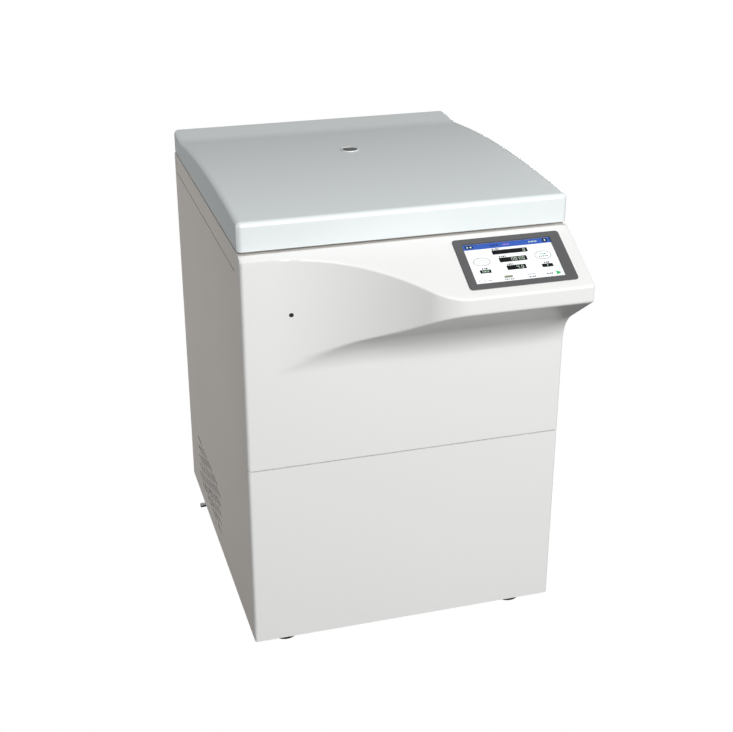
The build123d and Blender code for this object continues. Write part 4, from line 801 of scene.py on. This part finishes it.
def box_piece(corner_low, corner_high):
    """A primitive box between two corners."""
    low = Vector(corner_low)
    high = Vector(corner_high)
    deselect()
    bpy.ops.mesh.primitive_cube_add(size=1.0, location=(low + high) / 2)
    piece = bpy.context.object
    piece.scale = high - low
    bpy.ops.object.transform_apply(location=True, rotation=True, scale=True)
    return piece


class CENTRIFUGE_OT_covers(bpy.types.Operator):
    """Finish the cabinet covers and the moulded front"""

    bl_idname = "centrifuge.covers"
    bl_label = "Cabinet covers"

    def execute(self, context):
        looks = context.scene.centrifuge_finishes
        sheet = powder_coat("cover_white", looks.cover_colour)
        for node in ("left_side_panel", "right_side_panel", "rear_panel", "top_deck"):
            replace_by_skin(node, sheet)
        front = moulded("moulding_white", looks.moulding_colour, 0.38, 0.25)
        replace_by_skin("lower_front_panel", front)
        form = context.scene.centrifuge_form
        panel = console_panel(form)
        bezel_low, bezel_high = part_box("display_bezel")
        width = bezel_high.x - bezel_low.x
        deselect()
        bpy.ops.mesh.primitive_cube_add(
            size=1.0, location=(bezel_low + bezel_high) / 2, rotation=(form.slope_angle, 0, 0),
            scale=(width - 2 * form.bezel_overlap, form.opening_length, form.cutter_depth),
        )
        bpy.ops.object.transform_apply(location=True, rotation=True, scale=True)
        opening = context.object
        plug_low, plug_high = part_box("release_plug")
        plug = (plug_low + plug_high) / 2
        plug_radius = (plug_high.x - plug_low.x) / 2
        hole = cylinder(plug, plug_radius + form.fit_gap / 4, form.cutter_depth, UPRIGHT)
        cut_away(panel, opening, hole)
        smooth(panel, CREASE_ANGLE)
        stand_in(panel, "upper_front_panel", front)

        place, length, thickness = tilted_face("display_bezel", form.slope_angle)
        inner = rounded_outline(width, length, form.rim_corner)
        outer = rounded_outline(
            width + 2 * form.rim_width, length + 2 * form.rim_width, form.rim_corner + form.rim_width
        )
        rim = ring_piece("bezel_rim", inner, outer, -thickness, form.rim_height - thickness, place)
        apply_modifier(rim, "BEVEL", width=form.rim_width / 4, segments=2)
        smooth(rim, 50.0)
        finish_piece(rim, "bezel_rim", front, "cabinet", "moulding_white")

        deselect()
        bpy.ops.mesh.primitive_torus_add(
            major_radius=plug_radius + form.collar_radius, minor_radius=form.collar_radius,
            major_segments=64, minor_segments=10, rotation=UPRIGHT,
            location=(plug.x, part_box("upper_front_panel")[0].y + form.console_reach, plug.z),
        )
        collar = context.object
        smooth(collar, 60.0)
        finish_piece(collar, "release_hole_collar", front, "cabinet", "moulding_white")
        return {"FINISHED"}


class CENTRIFUGE_OT_screws(bpy.types.Operator):
    """Add the screw heads that hold the rear cover"""

    bl_idname = "centrifuge.screws"
    bl_label = "Cover screws"

    def execute(self, context):
        form = context.scene.centrifuge_form
        low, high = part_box("rear_panel")
        radius = form.screw_radius
        top = high.z - form.screw_inset
        heights = spaced(low.z + form.screw_inset, top, form.screw_spacing) + [top]
        heads = []
        for across in (low.x + form.screw_inset, high.x - form.screw_inset):
            for up in heights:
                head = cylinder((across, high.y, up), radius, radius, UPRIGHT, 32)
                slot = box_piece(
                    (across - 2 * radius, high.y + radius / 4, up - radius / 8),
                    (across + 2 * radius, high.y + radius, up + radius / 8),
                )
                cut_away(head, slot)
                apply_modifier(head, "BEVEL", width=radius / 8, segments=2)
                heads.append(head)
        deselect()
        for head in heads:
            head.select_set(True)
        context.view_layer.objects.active = heads[0]
        bpy.ops.object.join()
        screws = context.object
        smooth(screws, 40.0)
        steel = cast("screw_steel", (0.55, 0.55, 0.56), 1.0, 0.3)
        finish_piece(screws, "cover_screws", steel, "cabinet", "bright_steel")
        return {"FINISHED"}


class CENTRIFUGE_OT_lid(bpy.types.Operator):
    """Finish the lid, its sight glass and its liner"""

    bl_idname = "centrifuge.lid"
    bl_label = "Lid"

    def execute(self, context):
        looks = context.scene.centrifuge_finishes
        form = context.scene.centrifuge_form
        lid = lid_form(form)
        glass_low, glass_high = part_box("sight_glass_ring")
        glass = (glass_low + glass_high) / 2
        sight_radius = (glass_high.x - glass_low.x) / 2 + form.fit_gap
        sight = cylinder(glass, sight_radius, 4 * form.cutter_depth)
        notches = []
        shell_low, shell_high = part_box("lid_shell")
        pin_y = shell_high.y - form.hinge_pin_inset
        pin_z = shell_low.z + form.hinge_pin_rise
        half = form.hinge_half_width
        reach = form.hinge_relief
        past = form.cutter_depth / 2
        for side in (-1, 1):
            pin_x = side * form.hinge_place
            left = pin_x - half
            right = pin_x + half
            below = box_piece((left, pin_y - reach, pin_z - past), (right, pin_y + past, pin_z))
            behind = box_piece((left, pin_y, pin_z - form.wall / 4), (right, pin_y + past, pin_z + reach))
            barrel = cylinder((pin_x, pin_y, pin_z), reach, 2 * half, SIDEWAYS, 48)
            notches += [below, behind, barrel]
        cut_away(lid, sight, *notches)
        smooth(lid, CREASE_ANGLE)
        stand_in(lid, "lid_shell", moulded("lid_grey", looks.lid_colour, 0.34, 0.35))
        # The sight glass's near-black colour is painted shade of the unlit chamber seen through it
        replace_by_skin("sight_glass", shade_painted_glass("sight_clear", (0.008, 0.010, 0.010)))
        replace_by_skin("sight_glass_ring", moulded("trim_white", (0.80, 0.82, 0.82), 0.3, 0.3))
        dress(["lid_liner"], brushed("liner_steel", (0.62, 0.62, 0.61), 0))
        dress(["lid_hardware"], cast("hardware_steel", (0.55, 0.55, 0.56), 0.9, 0.4))
        return {"FINISHED"}


class CENTRIFUGE_OT_display(bpy.types.Operator):
    """Build the lit display in its bezel"""

    bl_idname = "centrifuge.display"
    bl_label = "Display"

    def execute(self, context):
        looks = context.scene.centrifuge_finishes
        replace_by_skin("display_bezel", moulded("bezel_grey", looks.bezel_colour, 0.5, 0.0))
        light = looks.screen_strength
        replace_by_skin("display_screen", lit("screen_white", (0.86, 0.88, 0.90), light))
        place = tilted_face("display_screen", context.scene.centrifuge_form.slope_angle)[0]
        inks = {ink: lit("ink_" + ink, colour, light) for ink, colour in INKS.items()}
        drawn = {ink: bmesh.new() for ink in inks}
        layer = looks.ink_height

        def panel(ink, u, v, width, depth, level=1, corner=0.0):
            """A thin rounded field centred at u, v, in millimetres from the screen's middle."""
            points = rounded_outline(width, depth, corner, 4 if corner else 1)
            outline(ink, [(u + x, v + y) for x, y in points], level)

        def outline(ink, points, level=1):
            """A thin solid with the given outline, standing on the screen."""
            mesh = drawn[ink]
            foot = [mesh.verts.new((x * MM, y * MM, 0.0)) for x, y in points]
            head = [mesh.verts.new((x * MM, y * MM, level * layer)) for x, y in points]
            mesh.faces.new(head)
            mesh.faces.new(reversed(foot))
            for index in range(len(points)):
                following = (index + 1) % len(points)
                mesh.faces.new((foot[index], foot[following], head[following], head[index]))

        def ellipse(ink, u, v, radius_u, radius_v, line, level=1):
            """An oval line, made of short flat bars."""
            steps = 48
            for step in range(steps):
                ends = []
                for edge in (0, 1):
                    angle = 2 * math.pi * (step + edge) / steps
                    for reach in (0.0, line):
                        ends.append((
                            u + (radius_u - reach) * math.cos(angle),
                            v + (radius_v - reach) * math.sin(angle),
                        ))
                outline(ink, [ends[0], ends[2], ends[3], ends[1]], level)

        def dashes(ink, u, v, width, depth, count, level=1):
            """A row of short bars that stands for a caption."""
            pitch = width / count
            for index in range(count):
                swell = 0.62 + 0.22 * math.sin(2.4 * index + u)
                panel(ink, u - width / 2 + pitch * (index + 0.5), v, pitch * swell, depth, level, depth / 4)

        def digits(ink, text, u, v, depth):
            """Plain seven-segment figures, the right end at u."""
            width = depth * 0.64
            bar = depth * 0.11
            cursor = u
            for figure in reversed(text):
                if figure in POINTS:
                    cursor -= bar * 2
                    for share in POINTS[figure]:
                        panel(ink, cursor, v + share * depth, bar, bar, 3, bar / 3)
                    cursor -= bar * 2
                    continue
                for key in FIGURES[figure]:
                    across, up, lies = BARS[key]
                    size = (width, bar) if lies else (bar, depth / 2 + bar / 2)
                    middle = cursor - width / 2 + across * (width - bar)
                    panel(ink, middle, v + up * (depth - bar), *size, 3, bar / 3)
                cursor -= width + bar * 2.6

        for field in SCREEN_FIELDS:
            panel(*field)
        for caption in SCREEN_CAPTIONS:
            dashes(*caption)
        for oval in SCREEN_OVALS:
            ellipse(*oval)
        for u, v, width, depth, text in SCREEN_VALUES:
            panel("black", u, v, width, depth, 2, 1.2)
            digits("white", text, u + width / 2 - 4.5, v, depth * 0.6)
            dashes("black", u - width / 2 + 7.5, v + depth / 2 + 2.4, 13, 3.0, 4)
            dashes("pale", u + width / 2 - 14.0, v + depth / 2 + 2.2, 15, 1.2, 5)
        outline("green", START_ARROW, 2)
        for ink, mesh in drawn.items():
            mesh.transform(place)
            data = bpy.data.meshes.new("screen_" + ink)
            mesh.to_mesh(data)
            mesh.free()
            piece = bpy.data.objects.new("screen_" + ink, data)
            context.scene.collection.objects.link(piece)
            finish_piece(piece, "screen_" + ink, inks[ink], "cabinet", "screen")
        return {"FINISHED"}


class CENTRIFUGE_OT_metalwork(bpy.types.Operator):
    """Finish the frame, the chamber, the rotor, the drive and the cooling unit"""

    bl_idname = "centrifuge.metalwork"
    bl_label = "Metalwork"

    def execute(self, context):
        painted = cast("frame_grey", (0.20, 0.21, 0.22), 0.0, 0.5)
        dress(["base_tray", "cabinet_frame", "chamber_plate", "guard_ring"], painted)
        steel = brushed("stainless", (0.62, 0.62, 0.61), 2)
        dress(["chamber_bowl"] + [f"decap_grid_{number}" for number in range(1, 5)], steel)
        plated = cast("plated_steel", (0.58, 0.58, 0.59), 1.0, 0.28)
        dress(
            ["hinge_leaves", "lock_housings", "lock_hooks", "spindle", "rotor_nut", "strut_rods",
             "motor_bearings", "electrical_box", "drain_spigot"],
            plated,
        )
        alloy = cast("cast_alloy", (0.56, 0.57, 0.58), 1.0, 0.42)
        dress(
            ["motor_housing", "condenser", "motor_drive", "rotor_head"]
            + [f"bucket_{number}" for number in range(1, 5)],
            alloy,
        )
        dark = cast("enamel_black", (0.025, 0.025, 0.028), 0.0, 0.42)
        dress(["motor_stator", "compressor", "fan_motor", "strut_cylinders"], dark)
        dress(["evaporator_coil", "refrigerant_pipes"], cast("copper", (0.62, 0.29, 0.17), 1.0, 0.34))
        return {"FINISHED"}


class CENTRIFUGE_OT_mouldings(bpy.types.Operator):
    """Finish the racks, rubber pieces, foam, plug, inlet and breaker"""

    bl_idname = "centrifuge.mouldings"
    bl_label = "Small mouldings"

    def execute(self, context):
        rubber = soft_black("rubber_black", (0.018, 0.018, 0.02), 0.75)
        dress(["feet", "chamber_gasket", "shaft_boot", "motor_dampers", "drain_hose"], rubber)
        black = soft_black("black_plastic", (0.012, 0.012, 0.013), 0.45)
        dress(["mains_inlet", "breaker_body", "fan_blades", "release_plug"], black)
        racks = [f"tube_rack_{number}" for number in range(1, 5)]
        dress(racks, moulded("rack_blue", (0.05, 0.12, 0.26), 0.45, 0.1))
        dress(["breaker_toggle"], moulded("toggle_white", (0.75, 0.75, 0.74), 0.35, 0.2))
        dress(["foam_jacket"], foamed("foam", (0.70, 0.60, 0.34)))
        return {"FINISHED"}


class CENTRIFUGE_OT_studio(bpy.types.Operator):
    """Set up the floor, the lamps and the camera"""

    bl_idname = "centrifuge.studio"
    bl_label = "Studio"

    def execute(self, context):
        studio = context.scene.centrifuge_studio
        deselect()
        bpy.ops.mesh.primitive_plane_add(size=40.0, location=(0, 0, 0))
        floor = context.object
        floor.name = "studio_floor"
        grey = shade((1.0, 1.0, 1.0), studio.floor_shade)
        finish = Finish("studio_white", Roughness=0.9, Base_Color=grey)
        glow = finish.node("ShaderNodeEmission", {}, {"Color": (1, 1, 1, 1), "Strength": 1.0})
        seen = finish.node("ShaderNodeLightPath", {}, {}, "Is Camera Ray")
        surface = Term(finish, finish.shader.outputs[0])
        both = finish.node("ShaderNodeMixShader", {}, {0: seen, 1: surface, 2: glow})
        finish.tree.links.new(both.socket, finish.tree.nodes["Material Output"].inputs["Surface"])
        floor.data.materials.append(finish.material)

        world = bpy.data.worlds.new("studio_sky")
        context.scene.world = world
        sky = Shading(world, "Background")
        sky.shader.inputs["Color"].default_value = (1, 1, 1, 1)
        mirrored = sky.node("ShaderNodeLightPath", {}, {}, "Is Glossy Ray")
        shown = sky.node("ShaderNodeLightPath", {}, {}, "Is Camera Ray")
        level = studio.sky_strength + mirrored * (studio.mirrored_strength - studio.sky_strength)
        sky.feed(Strength=level + shown * (1.0 - level))

        lamps = (
            ("key_lamp", (1.0, -4.2, 3.0), (0.0, -0.1, 0.45), 3.0, studio.key_power),
            ("top_lamp", (0.3, 0.4, 3.2), (0.0, 0.0, 0.8), 2.4, studio.top_power),
            ("side_lamp", (-2.4, 0.7, 0.4), (-0.3, 0.0, 0.3), 1.2, studio.side_power),
            ("back_lamp", (2.6, 3.4, 0.7), (0.0, 0.1, 0.45), 1.2, studio.back_power),
        )
        for name, place, aim, size, power in lamps:
            self.lamp(context, name, place, aim, size, power)

        camera = bpy.data.cameras.new("photograph_view")
        camera.sensor_width = 36.0
        camera.sensor_fit = "HORIZONTAL"
        camera.lens = studio.camera_lens
        camera.clip_end = 100.0
        eye = bpy.data.objects.new("photograph_view", camera)
        eye.location = studio.camera_place
        eye.rotation_euler = (math.pi / 2 - studio.camera_pitch, 0.0, -studio.camera_yaw)
        context.scene.collection.objects.link(eye)
        context.scene.camera = eye
        context.scene.view_settings.view_transform = "Standard"
        return {"FINISHED"}

    def lamp(self, context, name, place, aim, size, power):
        """A large square lamp at a place, turned towards a point."""
        data = bpy.data.lights.new(name, "AREA")
        data.shape = "SQUARE"
        data.size = size
        data.energy = power
        lamp = bpy.data.objects.new(name, data)
        lamp.location = place
        lamp.rotation_euler = (Vector(aim) - Vector(place)).to_track_quat("-Z", "Y").to_euler()
        context.scene.collection.objects.link(lamp)


class CENTRIFUGE_PT_panel(bpy.types.Panel):
    """Lists the centrifuge's operators and sizes"""

    bl_idname = "CENTRIFUGE_PT_panel"
    bl_label = "Centrifuge"
    bl_space_type = "VIEW_3D"
    bl_region_type = "UI"
    bl_category = "Centrifuge"

    def draw(self, context):
        scene = context.scene
        for settings in (scene.centrifuge_finishes, scene.centrifuge_form, scene.centrifuge_studio):
            for name in settings.bl_rna.properties.keys()[2:]:
                self.layout.prop(settings, name)
        for operator in OPERATORS:
            self.layout.operator(operator.bl_idname)


OPERATORS = (
    CENTRIFUGE_OT_covers,
    CENTRIFUGE_OT_screws,
    CENTRIFUGE_OT_lid,
    CENTRIFUGE_OT_display,
    CENTRIFUGE_OT_metalwork,
    CENTRIFUGE_OT_mouldings,
    CENTRIFUGE_OT_studio,
)
CLASSES = (CentrifugeFinishes, FormSizes, StudioSetup, *OPERATORS, CENTRIFUGE_PT_panel)


def register():
    """Registers the classes and hangs the settings on the scene."""
    for cls in CLASSES:
        bpy.utils.register_class(cls)
    bpy.types.Scene.centrifuge_finishes = bpy.props.PointerProperty(type=CentrifugeFinishes)
    bpy.types.Scene.centrifuge_form = bpy.props.PointerProperty(type=FormSizes)
    bpy.types.Scene.centrifuge_studio = bpy.props.PointerProperty(type=StudioSetup)


def unregister():
    """Takes the settings and classes away again."""
    del bpy.types.Scene.centrifuge_studio
    del bpy.types.Scene.centrifuge_form
    del bpy.types.Scene.centrifuge_finishes
    for cls in reversed(CLASSES):
        bpy.utils.unregister_class(cls)


def main():
    """Builds every finish in order."""
    register()
    bpy.ops.centrifuge.covers()
    bpy.ops.centrifuge.screws()
    bpy.ops.centrifuge.lid()
    bpy.ops.centrifuge.display()
    bpy.ops.centrifuge.metalwork()
    bpy.ops.centrifuge.mouldings()
    bpy.ops.centrifuge.studio()


if __name__ == "__main__":
    main()
